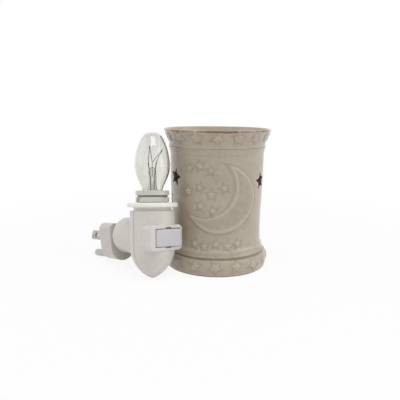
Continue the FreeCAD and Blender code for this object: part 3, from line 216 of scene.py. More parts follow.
for name, place, side, power in LAMPS:
    lamp_data = bpy.data.lights.new(name, "AREA")
    lamp_data.size = side
    lamp_data.energy = power
    lamp = placed(name, lamp_data)
    lamp.location = place
    lamp.rotation_euler = (LAMP_AIM - Vector(place)).to_track_quat("-Z", "Y").to_euler()
print("lamps:", len(LAMPS))

# %% [markdown]
# ## Building blocks for finishes
# Each finish is a Principled shader whose colour, roughness and relief come from noise that reads
# Object coordinates, so it stays put on the piece.

# %% Finish helpers
def new_finish(name, **sockets):
    """A material with one Principled shader, and its constant sockets set."""
    finish = bpy.data.materials.new(name)
    tree = emptied(finish)
    shader = added(tree, "ShaderNodeBsdfPrincipled", **sockets)
    added(tree, "ShaderNodeOutputMaterial", Surface=shader.outputs["BSDF"])
    return finish, tree, shader


def noise(tree, size, detail=3.0, stretch=(1, 1, 1)):
    """Noise whose lumps are about size metres across, longer along an axis with a small stretch."""
    place = added(tree, "ShaderNodeTexCoord").outputs["Object"]
    mapping = added(tree, "ShaderNodeMapping", Vector=place, Scale=stretch)
    texture = added(tree, "ShaderNodeTexNoise", Vector=mapping.outputs["Vector"],
                    Scale=1 / size, Detail=detail)
    return texture.outputs["Fac"]


def ramp(tree, factor, stops):
    """A colour for each position from 0 to 1, read from stops of position and colour."""
    node = added(tree, "ShaderNodeValToRGB", Fac=factor)
    elements = node.color_ramp.elements
    while len(elements) < len(stops):
        elements.new(0.5)
    for element, (position, colour) in zip(elements, stops):
        element.position = position
        element.color = colour
    return node.outputs["Color"]


def spread(tree, factor, low, high):
    """The middle half of a noise stretched over the range from low to high."""
    return ranged(tree, factor, (0.25, 0.75), (low, high))


def blended(tree, factor, first, second, way="MIX"):
    """Two colours mixed by a factor, each of them a socket or a fixed value."""
    node = added(tree, "ShaderNodeMix")
    node.data_type = "RGBA"
    node.blend_type = way
    for number, value in ((6, first), (7, second), (0, factor)):    # its colour sockets
        feed(tree, node.inputs[number], value)
    return node.outputs[2]


def relief(tree, shader, height, depth, **below):
    """Turns a height from 0 to 1 into bumps that are depth metres high, on top of those below."""
    node = added(tree, "ShaderNodeBump", Strength=1.0, Distance=depth, Height=height, **below)
    fed(tree, shader, Normal=node.outputs["Normal"])
    return node.outputs["Normal"]


print("finish helpers ready")

# %% [markdown]
# ## Glaze
# The ceramic is dipped in a warm grey glaze. Where the glaze runs thin, on rims and raised edges,
# the brown body shows through. Beside the relief and in the groove and cove at the foot it is
# darker, partly from glaze pooling and partly painted shade. The surfaces made below carry an
# attribute that says how thin the glaze is at each point, with painted shade and light added, and
# the finish turns that number into colour, with soft clouds and a few iron specks on top.

# %% Glaze finish
# the lowest tone is pooled glaze and painted shade in the hollows
GLAZE_TONES = [    # how thin the glaze is, and its colour there
    (0.10, tone(130, 118, 102)), (0.42, tone(177, 165, 148)), (0.62, tone(192, 178, 157)),
    (0.84, tone(150, 118, 88)), (1.0, tone(116, 84, 60))]
RAGGED_SIZE, RAGGED_SHARE = 0.0035, 0.22    # noise that makes the edges of a colour uneven
CLOUD_SIZE = 0.012
CLOUD_TONES = [(0.30, (0.93, 0.925, 0.92, 1)), (0.70, (1.05, 1.05, 1.045, 1))]
SPECK_SIZE, SPECK_TONE, SPECK_SHARE = 0.0011, tone(128, 110, 92), 0.15
SPECK_LOW = -2.2      # far below 0, so that specks are rare
GLOSS_SIZE, SMOOTHEST, ROUGHEST = 0.006, 0.28, 0.42
DIMPLE_SIZE, DIMPLE_DEPTH = 0.0022, 0.00006

glaze, tree, shader = new_finish("warm_grey_glaze", Coat_Weight=0.5, Coat_Roughness=0.06, IOR=1.5)
glaze_shade_attribute = added(tree, "ShaderNodeAttribute")
glaze_shade_attribute.attribute_name = "glaze_and_shade_level"
ragged = reckoned(
    tree, "MULTIPLY_ADD", noise(tree, RAGGED_SIZE), RAGGED_SHARE, glaze_shade_attribute.outputs["Fac"])
clouds = ramp(tree, noise(tree, CLOUD_SIZE, 4.0), CLOUD_TONES)
clouded = blended(tree, 1.0, ramp(tree, ragged, GLAZE_TONES), clouds, "MULTIPLY")
speck_mask = spread(tree, noise(tree, SPECK_SIZE, 1.0), SPECK_LOW, 1.0)
specks = blended(tree, speck_mask, clouded, SPECK_TONE)
fed(tree, shader, Base_Color=blended(tree, SPECK_SHARE, clouded, specks),
    Roughness=spread(tree, noise(tree, GLOSS_SIZE), SMOOTHEST, ROUGHEST))
relief(tree, shader, noise(tree, DIMPLE_SIZE, 2.0), DIMPLE_DEPTH)
print("finish:", glaze.name)

# %% [markdown]
# ## Where the lamp unit stands
# The unit leans back on its pointed foot and on the ground pin of its plug. Its pieces are drawn
# upright about the unit's own axis, then turned about the centre of the round tip and moved into
# place.

# %% Lamp unit's place
UNIT_PLACE = (-39.6, -36.1, 0)
UNIT_YAW, UNIT_LEAN, UNIT_SIDE_LEAN = 44.0, 10.8, -1.25
TIP = np.array([0, 0, 4.0])


def turning(axis, degrees):
    """The matrix that turns points about one axis, by the right hand rule."""
    return np.array(Matrix.Rotation(math.radians(degrees), 3, axis))


UNIT_TURN = turning("X", -UNIT_LEAN) @ turning("Y", UNIT_SIDE_LEAN) @ turning("Z", UNIT_YAW)


def in_unit(points):
    """Points of the upright unit, where the leaning unit has them."""
    return (points - TIP) @ UNIT_TURN.T + TIP + UNIT_PLACE


print("unit's tip at", in_unit(np.zeros((1, 3)))[0].round(2), "mm")

# %% [markdown]
# ## Moulded plastics
# The lamp unit's shells, holder and plug are one family of glossy white thermoplastic. They differ
# a little in tint, and subsurface scattering lets light into the soft ring under the lampholder.

# %% Plastic finishes
DRIFT_SIZE, WEAR_SIZE, WAVE_SIZE, GRAIN_SIZE = 0.03, 0.012, 0.02, 0.0006
GRAIN_DEPTH, WAVE_DEPTH = 0.000003, 0.000024
THERMOPLASTIC = {"Subsurface_Weight": 0.1, "Subsurface_Radius": (1, 1, 1),
                 "Subsurface_Scale": 0.001, "IOR": 1.49}


def plastic(name, colour, aged, roughness, **sockets):
    """A moulded plastic that drifts between two tones and carries a fine grain."""
    finish, tree, shader = new_finish(name, **sockets)
    drift = noise(tree, DRIFT_SIZE, 2.0)
    rough = spread(tree, noise(tree, WEAR_SIZE, 2.0), roughness - 0.02, roughness + 0.03)
    fed(tree, shader, Base_Color=ramp(tree, drift, [(0.3, aged), (0.7, colour)]), Roughness=rough)
    waves = relief(tree, shader, noise(tree, WAVE_SIZE, 1.0), WAVE_DEPTH)
    relief(tree, shader, noise(tree, GRAIN_SIZE, 2.0), GRAIN_DEPTH, Normal=waves)
    return finish


shell_white = plastic(
    "shell_white", tone(218, 214, 208), tone(213, 208, 201), 0.26, **THERMOPLASTIC)
plug_white = plastic(
    "plug_white", tone(210, 205, 201), tone(205, 199, 194), 0.26, **THERMOPLASTIC)
holder_white = plastic(
    "holder_white", tone(212, 211, 206), tone(207, 205, 199), 0.30, **THERMOPLASTIC)
rocker_white = plastic("rocker_white", tone(206, 203, 207), tone(201, 197, 202), 0.24, IOR=1.49)
ring_cream = plastic(
    "ring_cream", tone(248, 247, 240), tone(242, 240, 230), 0.40,
    Subsurface_Weight=0.3, Subsurface_Radius=(1, 1, 0.8), Subsurface_Scale=0.002, IOR=1.42)
pin_grey = plastic("pin_grey", tone(206, 206, 202), tone(190, 190, 186), 0.40, IOR=1.49)
insulation_white = plastic("insulation_white", tone(222, 222, 220), tone(208, 208, 205), 0.45)
insulation_black = plastic("insulation_black", tone(46, 46, 48), tone(34, 34, 36), 0.45)
vitrite = plastic("dark_vitrite", tone(62, 48, 66), tone(38, 30, 42), 0.18, IOR=1.55)
print("plastics: 9 finishes")

# %% [markdown]
# ## Lines and levels in the plastics
# Painted shade darkens the seam of the two shells and the groove under the holder's upper ring, and
# painted light brightens the collar below the soft ring, which lies in the ring's shadow. Each lies
# between two planes, so the distance from the plane halfway finds it.

# %% Seam, groove and collar
ACROSS_SEAM, UPWARD = 1, 2    # axes of the unit
# painted shade for the seam and the groove, painted light for the collar in the soft ring's shadow
SEAM_PAINTED_SHADE, GROOVE_PAINTED_SHADE = (0.42, 0.40, 0.38, 1), (0.40, 0.39, 0.37, 1)
COLLAR_PAINTED_LIGHT = (1.38, 1.38, 1.40, 1)


def lined(finish, shade, axis, height, half_width, soft):
    """Multiplies a finish's colour by a factor within half_width millimetres of a plane, with an
    edge as wide as soft: painted shade where the factor is below 1, painted light where it is
    above. The plane is square to one axis of the unit and cuts its middle line at a height. A
    distance is the point's dot product with the axis, less that of the cut."""
    tree = finish.node_tree
    shader = next(node for node in tree.nodes if node.type == "BSDF_PRINCIPLED")
    direction = UNIT_TURN[:, axis]
    start = float(direction @ in_unit(np.array([[0, 0, height]]))[0]) * MM
    beyond = reckoned(tree, "SUBTRACT", place_number(tree, "DOT_PRODUCT", direction), start)
    near = ranged(tree, reckoned(tree, "ABSOLUTE", beyond),
                  ((half_width + soft) * MM, half_width * MM), (0, 1))
    colour = shader.inputs["Base Color"].links[0].from_socket
    fed(tree, shader, Base_Color=blended(tree, near, colour, shade, "MULTIPLY"))


# painted shade in the seam between the two shells
lined(shell_white, SEAM_PAINTED_SHADE, ACROSS_SEAM, height=0, half_width=0.16, soft=0.06)
# painted shade in the groove under the holder's upper ring
lined(holder_white, GROOVE_PAINTED_SHADE, UPWARD, height=51.875, half_width=0.45, soft=0.2)
# painted light on the collar, which lies in the shadow of the soft ring
lined(holder_white, COLLAR_PAINTED_LIGHT, UPWARD, height=43.925, half_width=1.025, soft=0.2)
print("lines: seam, groove and collar")

# %% [markdown]
# ## Metals
# The blades are nickel plated and show the drawing direction of the strip, the contacts are brass,
# and the screws are plain steel. Stretched noise stands for the drawing marks, and a second noise
# for patches dulled by fingers and sockets.

# %% Metal finishes
PATCH_SIZE, STREAK_SIZE, STREAK_DEPTH = 0.003, 0.0008, 0.00001


def metal(name, bright, dull, roughness, stretch=(1, 1, 1)):
    """A worked metal: streaks along one axis and dull patches in the same colour family."""
    finish, tree, shader = new_finish(name, Metallic=1.0)
    patches = noise(tree, PATCH_SIZE, 4.0)
    streaks = noise(tree, STREAK_SIZE, stretch=stretch)
    fed(tree, shader, Base_Color=ramp(tree, patches, [(0.35, dull), (0.65, bright)]),
        Roughness=spread(tree, streaks, roughness - 0.08, roughness + 0.14))
    relief(tree, shader, streaks, STREAK_DEPTH)
    return finish


nickel = metal("blade_nickel", tone(184, 183, 176), tone(154, 152, 144), 0.28, (0.35, 0.35, 2.5))
brass = metal("contact_brass", tone(214, 184, 112), tone(170, 138, 76), 0.30, (1, 1, 0.3))
steel = metal("screw_steel", tone(190, 190, 190), tone(142, 141, 138), 0.34)
solder = metal("solder_blob", tone(196, 197, 200), tone(150, 151, 155), 0.36)
wire_dark = metal("lead_wire", tone(104, 97, 90), tone(66, 61, 56), 0.42, (1, 1, 0.3))
tungsten = metal("tungsten_wire", tone(96, 96, 100), tone(64, 64, 70), 0.42)
print("metals: 6 finishes")

# %% [markdown]
# ## Glass
# The envelope is thin blown glass. It is modelled with a real wall, an outer and an inner skin, so
# the light bends twice and the rim darkens by itself.

# %% Glass finish
TINT_SIZE, TINTS = 0.02, [(0.3, tone(232, 231, 228)), (0.7, tone(240, 239, 236))]
SMEAR_SIZE, SMEARED = 0.004, 0.02
RIPPLE_SIZE, RIPPLE_DEPTH = 0.009, 0.00005

clear_glass, tree, shader = new_finish("clear_blown_glass", Transmission_Weight=1.0, IOR=1.46)
fed(tree, shader, Base_Color=ramp(tree, noise(tree, TINT_SIZE, 2.0), TINTS),
    Roughness=spread(tree, noise(tree, SMEAR_SIZE, 2.0), 0.0, SMEARED))
relief(tree, shader, noise(tree, RIPPLE_SIZE, 1.0), RIPPLE_DEPTH)
print("finish:", clear_glass.name)

# %% [markdown]
# ## Dressing the solids
# The solids that nothing below replaces have the right shape already. They only need a finish.

# %% Finishes on the frame's solids
DRESS = {
    holder_white: ["switch_case", "brush_holder", "swivel_retainer"],
    ring_cream: ["seat_ring"],
    pin_grey: ["ground_pin"],
    nickel: ["line_blade", "neutral_blade", "bulb_cap"],
    brass: ["screw_shell_contact", "centre_contact", "switch_terminals", "slip_ring_line",
            "slip_ring_neutral", "brush_line", "brush_neutral"],
    steel: ["housing_screws"],
    solder: ["bulb_tip_contact"],
    vitrite: ["bulb_insulator"],
    insulation_white: ["neutral_wire"],
    insulation_black: ["line_wire", "switched_wire"],
}


def wear(piece, finish):
    """The piece shows one finish all over."""
    piece.data.materials.clear()
    piece.data.materials.append(finish)


for finish, names in DRESS.items():
    for name in names:
        wear(nodes[name], finish)
print("dressed:", sum(len(names) for names in DRESS.values()), "solids")

# %% [markdown]
# ## Surfaces from arrays
# Every new piece is a grid of points in one numpy array: rows follow a profile or a wire, and
# columns run round it.

# %% Grid to mesh
def grid_faces(rows, columns, wrap_rows):
    """Index quads of a grid, row by row. The last column joins the first, and the last row joins
    the first where rows wrap."""
    index = np.arange(rows * columns).reshape(rows, columns)
    beside, below = np.roll(index, -1, axis=1), np.roll(index, -1, axis=0)
    quads = np.stack([index, beside, np.roll(beside, -1, axis=0), below], -1)
    return quads[:rows if wrap_rows else -1].reshape(-1, 4)


def signed_volume(points, triangles):
    """Sum over the triangles of a dot (b cross c), over six: positive when the faces look out."""
    a, b, c = (points[triangles[:, corner]] for corner in range(3))
    return float(np.einsum("ij,ij->i", a, np.cross(b, c)).sum() / 6)


def closed_grid(points, wrap_rows=False, shut=(True, True)):
    """Points and faces of a grid whose columns run round. Unless its rows wrap, the first and the
    last row are shut with a fan about their mean point, where shut says so. Faces are turned
    outwards. A fourth number at each point is carried along."""
    rows, columns, numbers = points.shape
    flat = points.reshape(-1, numbers)
    quads = grid_faces(rows, columns, wrap_rows)
    triangles = np.vstack([quads[:, [0, 1, 2]], quads[:, [0, 2, 3]]])
    faces = quads.tolist()
    ring = np.arange(columns)
    following = np.roll(ring, -1)
    last = (rows - 1) * columns
    ends = ((0, ring, following), (-1, last + following, last + ring))
    for (row, first, second), closes in zip(ends, shut):
        if closes and not wrap_rows:
            fan = np.stack([np.full(columns, len(flat)), second, first], 1)
            flat = np.vstack([flat, points[row].mean(0)])
            triangles = np.vstack([triangles, fan])
            faces = faces + fan.tolist()
    places = flat[:, :3]
    if signed_volume(places - places.mean(0), triangles) < 0:
        faces = [face[::-1] for face in faces]
    return flat, faces


def closed_piece(name, points, finish, **closing):
    """A smooth object made of a closed grid. A fourth number becomes the attribute
    glaze_and_shade_level: glaze thinness with painted shade and light added.
    """
    flat, faces = closed_grid(points, **closing)
    piece = meshed(name, flat[:, :3], faces)
    piece.data.shade_smooth()
    if flat.shape[1] == 4:
        layer = piece.data.attributes.new("glaze_and_shade_level", "FLOAT", "POINT")
        layer.data.foreach_set("value", flat[:, 3].astype(np.float32))
    wear(piece, finish)
    return piece


print("grid helpers ready")

# %% Lines, arcs and smooth runs
FINE = 0.1    # millimetres from point to point


def joined(runs):
    """Runs put end to end, each without its first point, which the one before it ends on."""
    return np.vstack([runs[0]] + [run[1:] for run in runs[1:]])


def unit(vectors):
    """Each vector over its own length."""
    return vectors / np.linalg.norm(vectors, axis=1)[:, None]


def edges(*corners):
    """Straight runs from corner to corner: each start plus a share of the way to the end."""
    runs = []
    for start, way in zip(np.array(corners), np.diff(corners, axis=0)):
        count = max(2, int(np.linalg.norm(way) / FINE) + 1)
        runs.append(start + np.linspace(0, 1, count)[:, None] * way)
    return joined(runs)


def bowed(start, middle, end):
    """Points on the circle through three points, from the first to the last: the centre solves
    equal distances, and the angle runs from start to end on the middle's side."""
    a, b, c = (np.array(point, float) for point in (start, middle, end))
    sides = 2 * np.array([b - a, c - a])
    centre = np.linalg.solve(sides, np.array([b @ b - a @ a, c @ c - a @ a]))
    angle = np.unwrap([math.atan2(*(point - centre)[::-1]) for point in (a, b, c)])
    radius = np.linalg.norm(a - centre)
    count = max(3, int(abs(angle[2] - angle[0]) * radius / FINE) + 1)
    turn = np.linspace(angle[0], angle[2], count)
    return centre + radius * np.stack([np.cos(turn), np.sin(turn)], 1)


def smooth_run(points, step=FINE):
    """A natural cubic spline through points: second derivatives solve a three-banded system, and
    the parameter is the distance along the chords."""
    knots = np.array(points, float)
    gaps = np.linalg.norm(np.diff(knots, axis=0), axis=1)
    place = np.append(0, np.cumsum(gaps))
    count = len(knots)
    system = np.eye(count)
    for i in range(1, count - 1):
        system[i, i - 1:i + 2] = gaps[i - 1], 2 * (gaps[i - 1] + gaps[i]), gaps[i]
    wanted = np.zeros_like(knots)
    wanted[1:-1] = 6 * np.diff(np.diff(knots, axis=0) / gaps[:, None], axis=0)
    bend = np.linalg.solve(system, wanted)
    at = np.linspace(0, place[-1], max(3, int(place[-1] / step) + 1))
    span = np.clip(np.searchsorted(place, at, side="right") - 1, 0, count - 2)
    h = gaps[span][:, None]
    t = (at - place[span])[:, None]
    u = h - t
    cubes = (bend[span] * u ** 3 + bend[span + 1] * t ** 3) / (6 * h)
    from_left = knots[span] / h - bend[span] * h / 6
    from_right = knots[span + 1] / h - bend[span + 1] * h / 6
    return cubes + from_left * u + from_right * t


def travelled(line):
    """The distance along a line at each of its points."""
    return np.append(0, np.cumsum(np.linalg.norm(np.diff(line, axis=0), axis=1)))


def points_at(line, at):
    """Points at given distances along a line, in the plane or in space."""
    along = travelled(line)
    return np.stack([np.interp(at, along, coordinate) for coordinate in line.T], 1)


def evenly(line, step=FINE):
    """The same line with its points a fixed step apart, measured along it."""
    length = travelled(line)[-1]
    return points_at(line, np.linspace(0, length, int(length / step) + 1))


def averaged(line, weights, closed=False):
    """Each point becomes the weighted mean of its neighbours on both sides. An open line keeps its
    ends, because it is carried on beyond them by half a turn about the end point."""
    reach = len(weights) // 2
    if closed:
        padded = np.vstack([line[-reach:], line, line[:reach]])
    else:
        padded = np.vstack([2 * line[0] - line[reach:0:-1], line,
                            2 * line[-1] - line[-2:-reach - 2:-1]])
    return np.stack([np.convolve(coordinate, weights, "valid") for coordinate in padded.T], 1)


def hump(distance, width):
    """e to the power of minus (distance / width) squared: 1 in the middle, 0 far away."""
    return np.exp(-(distance / width) ** 2)


print("curve helpers ready")

# %% [markdown]
# ## The ceramic's profile
# Slip cast ware has no sharp corner: the slip and then the glaze round every edge. The shade's
# section is drawn from the same sizes as its solid, and a mean over a short stretch rounds its
# corners.

# %% Sizes of the ceramic, in millimetres
SHADE_HEIGHT, WALL = 81.6, 3.2
LAMP_HOLE_RADIUS, FLOOR_TOP = 12.0, 4.0
BAND_HEIGHT, BAND_RADIUS, BAND_CROWN = 10.8, 34.3, 0.7
GROOVE_RADIUS, GROOVE_TOP, BEAD_HEIGHT = 32.0, 11.7, 12.3
COLLAR_HEIGHT, COLLAR_RADIUS, COLLAR_STEP = 77.6, 31.6, 0.25
SEAT_RADIUS = 32.7
# Corners of the section, as radius and height, with a middle point for each arc.
FOOT_INNER, FOOT_ARC, FOOT_OUTER = (33.4, 0), (34.036, 0.264), (BAND_RADIUS, 0.9)
CROWN = (BAND_RADIUS + BAND_CROWN, 5.55)
BAND_OUTER, BAND_ARC, BAND_INNER = (BAND_RADIUS, 10.2), (34.124, 10.624), (33.7, BAND_HEIGHT)
BEAD, COVE_ARC = (32.9, BEAD_HEIGHT), (31.29, 15.65)
SIDE = np.array([(30.6, 19.0), (30.4, 26.0), (31.2, 55.0), (COLLAR_RADIUS, COLLAR_HEIGHT)])
COLLAR_FOOT, COLLAR_ARC = (COLLAR_RADIUS + COLLAR_STEP, COLLAR_HEIGHT), (32.04, 79.6)
SEAT = (SEAT_RADIUS, SHADE_HEIGHT)


def softened(line, closed):
    """A line whose corners are rounded by a mean with the weights of a raised cosine."""
    reach = 3
    weights = 1 + np.cos(np.arange(-reach, reach + 1) * math.pi / (reach + 1))
    return averaged(evenly(line), weights / weights.sum(), closed)


def outward(profile):
    """Unit normals of a line drawn with its outside on the right hand: the tangent turned by a
    quarter turn, (z, -r)."""
    tangent = unit(np.gradient(profile, axis=0))
    return np.stack([tangent[:, 1], -tangent[:, 0]], 1)


shade_profile = softened(joined([
    edges((LAMP_HOLE_RADIUS, 0), FOOT_INNER),
    bowed(FOOT_INNER, FOOT_ARC, FOOT_OUTER),
    bowed(FOOT_OUTER, CROWN, BAND_OUTER),
    bowed(BAND_OUTER, BAND_ARC, BAND_INNER),
    edges(BAND_INNER, (GROOVE_RADIUS, BAND_HEIGHT), (GROOVE_RADIUS, GROOVE_TOP), BEAD),
    bowed(BEAD, COVE_ARC, SIDE[0]),
    smooth_run(SIDE),
    edges(SIDE[-1], COLLAR_FOOT),
    bowed(COLLAR_FOOT, COLLAR_ARC, SEAT),
    edges(SEAT, (SEAT_RADIUS - WALL, SHADE_HEIGHT), SIDE[-1] - (WALL, 0)),
    smooth_run(SIDE[::-1] - (WALL, 0)),
    edges(SIDE[0] - (WALL, 0), (GROOVE_RADIUS - WALL, BEAD_HEIGHT),
          (BAND_RADIUS - 2 * WALL, FLOOR_TOP), (LAMP_HOLE_RADIUS, FLOOR_TOP),
          (LAMP_HOLE_RADIUS, 0)),
])[:-1], True)
print("section of the shade:", len(shade_profile), "points")

# %% Rows where they are needed
SHARPEST, BEND_WEIGHT = 1.5, 1.2


def chosen_rows(profile, fine, close, far):
    """Picks points of a line so that they lie close apart where fine is true, far apart elsewhere
    and closer still on bends: the running sum of one over the wanted gap is cut evenly."""
    way = np.gradient(profile, axis=0)
    step = np.linalg.norm(way, axis=1)
    bend = np.linalg.norm(np.gradient(unit(way), axis=0), axis=1) / step
    density = np.where(fine, 1 / close, 1 / far) + np.clip(bend, 0, SHARPEST) * BEND_WEIGHT
    total = np.cumsum(density * step)
    picked = np.searchsorted(total, np.arange(total[0], total[-1], 1.0))
    return np.unique(picked)


def carried_round(profile, columns):
    """A profile on evenly spaced turns, as three grids: radius, azimuth and height."""
    turns = np.linspace(0, math.tau, columns, endpoint=False)
    radius, turn = np.meshgrid(profile[:, 0], turns, indexing="ij")
    return radius, turn, np.broadcast_to(profile[:, 1:], radius.shape)


def lifted(wall, lift, normal, glaze_and_shade):
    """Points of a turned surface, moved by lift along the section's normal, each with its glaze
    value: the glaze's thinness with painted shade and light added. Azimuth 0 is the front, and it
    grows to the right."""
    radius, azimuth, height = wall
    far_out = radius + lift * normal[:, :1]
    high = height + lift * normal[:, 1:]
    return np.stack([far_out * np.sin(azimuth), -far_out * np.cos(azimuth), high,
                     np.clip(glaze_and_shade, 0, 1)], -1)


print("row picker ready")

# %% [markdown]
# ## Stars and the crescent as distance fields
# The relief is pressed into the mould, so it follows the curved wall. A distance field gives, for
# any point of the wall, how far it lies outside an outline, and less than zero inside. A smooth
# step of that distance raises the wall with soft flanks.

# %% Distance fields
STAR_WAIST, STAR_TIPS = 0.47, 5
TENTH = math.tau / (2 * STAR_TIPS)    # from a tip to the next waist
BAND_STARS, BAND_STAR_RADIUS, BAND_STAR_HEIGHT = 16, 3.7, 6.4
VENT_STAR_RADIUS, SKY_STAR_RADIUS = 6.3, 2.9
BAND_STAR_LINE, SKY_STAR_LINE = 0.55, 0.5    # widths of the raised edge
STAR_FLANK, MOAT_PLACE, MOAT_WIDTH = 0.55, 0.55, 0.5
STAR_FIELD, STAR_RIDGE, STAR_MOAT = 0.50, 0.50, -0.20    # shares of the relief
# the moat darkens with glaze pooling and painted shade
RIDGE_THIN, MOAT_POOL_AND_SHADE = 0.19, -0.15                      # changes of the glaze
MOON_PLACE, MOON_RADIUS = (1.7, 50.2), 22.1
HOLLOW_PLACE, HOLLOW_RADIUS = (-8.4, 57.8), 20.8
MOON_LINE, MOON_LIFT, MOON_FIELD, MOON_THIN = 1.2, 0.95, 0.22, 0.13
# darker beside and inside the crescent: glaze pooling and painted shade
POOL_SHADE_PLACE, POOL_SHADE_WIDTH, POOL_AND_SHADE, FIELD_POOL_AND_SHADE = 0.9, 0.7, -0.14, -0.07    # beside it, inside it
FAR_AWAY = 1e3
VENTS = (    # azimuth, height, turn
    (-58, 62.42, 12), (-80, 46.51, -14), (66, 59.98, -10), (92, 44.06, 16), (120, 62.02, -8),
    (150, 45.70, 10), (180, 62.83, 0), (-150, 45.70, -12), (-118, 62.02, 14))
SKY = (      # azimuth, height as a share of the shade's, size, turn
    (-33, 0.845, 0.85, 10), (-20, 0.870, 1.00, -12), (-7, 0.835, 0.80, 6), (-35, 0.665, 1.00, -8),
    (-20, 0.700, 0.80, 14), (-6, 0.650, 1.05, 0), (9, 0.700, 0.85, -15), (-19, 0.555, 0.95, 9),
    (-4, 0.520, 0.80, -10), (-27, 0.250, 0.85, 8), (-14, 0.235, 1.00, -12), (0, 0.255, 0.85, 4),
    (14, 0.235, 1.00, 12), (27, 0.250, 0.85, -8))


def star_distance(across, up, radius, turn):
    """Signed distance to a star's edge line: the angle is folded into a tenth of a turn, where one
    straight edge runs from a tip to a waist point."""
    reach = np.hypot(across, up)
    angle = np.arctan2(across, up) - math.radians(turn)
    folded = np.abs((angle + TENTH) % (2 * TENTH) - TENTH)
    x, y = reach * np.sin(folded), reach * np.cos(folded)
    edge_x = radius * STAR_WAIST * math.sin(TENTH)
    edge_y = radius * STAR_WAIST * math.cos(TENTH) - radius
    return (x * -edge_y + (y - radius) * edge_x) / math.hypot(edge_x, edge_y)


def on_wall(radius, azimuth, height, star_azimuth, star_height):
    """Where wall points lie in the plane that faces a star: sideways is r times the sine of the
    angle between them. Points on the far side are sent far away."""
    between = azimuth - math.radians(star_azimuth)
    across = np.where(np.cos(between) > 0, radius * np.sin(between), FAR_AWAY)
    return across, height - star_height


def soft_step(distance, width):
    """1 well inside, 0 well outside, and a smooth cubic between, over width."""
    share = np.clip(0.5 - distance / width, 0, 1)
    return share * share * (3 - 2 * share)


def embossed(distance, line):
    """A pressed star: a raised edge of the given width round a slightly lower field, and a shallow
    moat outside it. Gives height as a share of the relief, and how thin the glaze is, darker in the
    moat from glaze pooling and painted shade."""
    field = soft_step(distance, STAR_FLANK)
    ridge = hump(distance + 1.1 * line, 0.8 * line) * field
    moat = hump(distance - MOAT_PLACE, MOAT_WIDTH)
    return (STAR_FIELD * field + STAR_RIDGE * ridge + STAR_MOAT * moat,
            RIDGE_THIN * ridge + MOAT_POOL_AND_SHADE * moat)


def stronger(new, old):
    """Whichever of two values lies further from zero."""
    return np.where(np.abs(new) > np.abs(old), new, old)


def with_stars(wall, stars, line, raised, shift):
    """Lift and glaze shift, with painted shade in the moats, of a wall with stars added, each by
    azimuth, height, radius and turn.
    """
    for *place, size, turn in stars:
        distance = star_distance(*on_wall(*wall, *place), size, turn)
        star_lift, star_shift = embossed(distance, line)
        raised, shift = stronger(star_lift, raised), stronger(star_shift, shift)
    return raised, shift


def band_relief(wall, middle):
    """The row of stars round a band, every second one turned tip down."""
    turns = (180 / STAR_TIPS, 0)
    stars = [(number * 360 / BAND_STARS, middle, BAND_STAR_RADIUS, turns[number % 2])
             for number in range(BAND_STARS)]
    plain = np.zeros_like(wall[0])
    return with_stars(wall, stars, BAND_STAR_LINE, plain, plain)


print("distance fields ready")


# %% Relief of the shade's wall
def wall_relief(wall):
    """Crescent line, small stars and the starred band at the foot, as lift and glaze shift; the
    shift darkens beside and inside the relief with glaze pooling and painted shade.
    """
    across, up = on_wall(*wall, 0, 0)
    moon = np.hypot(across - MOON_PLACE[0], up - MOON_PLACE[1]) - MOON_RADIUS
    hollow = HOLLOW_RADIUS - np.hypot(across - HOLLOW_PLACE[0], up - HOLLOW_PLACE[1])
    crescent = np.maximum(moon, hollow)
    line = hump(crescent + MOON_LINE / 2, 0.62 * MOON_LINE)
    raised = MOON_LIFT * line + MOON_FIELD * soft_step(crescent + MOON_LINE, MOON_LINE)
    shift = MOON_THIN * line + POOL_AND_SHADE * hump(crescent - POOL_SHADE_PLACE, POOL_SHADE_WIDTH)
    shift += FIELD_POOL_AND_SHADE * soft_step(crescent + 2 * MOON_LINE, 1.6)
    stars = [(star_azimuth, SHADE_HEIGHT * share, SKY_STAR_RADIUS * size, turn)
             for star_azimuth, share, size, turn in SKY]
    raised, shift = with_stars(wall, stars, SKY_STAR_LINE, raised, shift)
    foot_lift, foot_shift = band_relief(wall, BAND_STAR_HEIGHT)
    on_band = wall[2] < BAND_HEIGHT
    return np.where(on_band, foot_lift, raised), np.where(on_band, foot_shift, shift)


def vent_edge(wall):
    """1 at the edge of a star opening, falling to 0 about a millimetre from it."""
    distances = [star_distance(*on_wall(*wall, *place), VENT_STAR_RADIUS, turn)
                 for *place, turn in VENTS]
    return hump(np.maximum(np.min(distances, axis=0), 0), 0.7)


print("relief ready")

# %% [markdown]
# ## The shade
# The section is carried round the axis. On the outside the relief moves each point along the wall's
# normal, and the same arrays set the glaze value: thin on raised edges and at the star openings,
# darker beside the relief and in the groove and cove from glaze pooling and painted shade, darker
# brown along the foot where the ware was wiped and painted contact shadow lies at its edge, and
# lighter and warmer inside with painted bounce light. The openings are cut last, with star prisms
# and a Boolean modifier.

# %% Shade surface
COLUMNS = 360
RELIEF = 0.7    # height of the relief
GLAZE_LEVEL = 0.36    # how thin the glaze is on the plain wall
OUTER_RADIUS, OUTER_FOOT = GROOVE_RADIUS - 2.2, 0.4    # the outside lies beyond both
ROLL_HEIGHT, ROLL_WIDTH, ROLL_RISE = 15.7, 0.75, 0.4    # the soft roll over the foot's cove
# darker brown along the foot's bottom edge: the glaze wiped off, and painted contact shadow
FOOT_BARE_AND_SHADE, FOOT_BARE_SHADE_WIDTH = 0.64, 0.9    # the foot, where the glaze was wiped off
# darker in the groove and the cove: glaze pooling and painted shade; lighter on the roll: thin
# glaze and a painted highlight
RINGS = (    # height, width and change of thinness: the groove, the roll and the cove under it
    (11.3, 0.7, -0.08), (ROLL_HEIGHT, ROLL_WIDTH, 0.10), (13.7, 1.0, -0.13))
VENT_THIN, INSIDE_PAINTED_BOUNCE = 0.35, 0.38

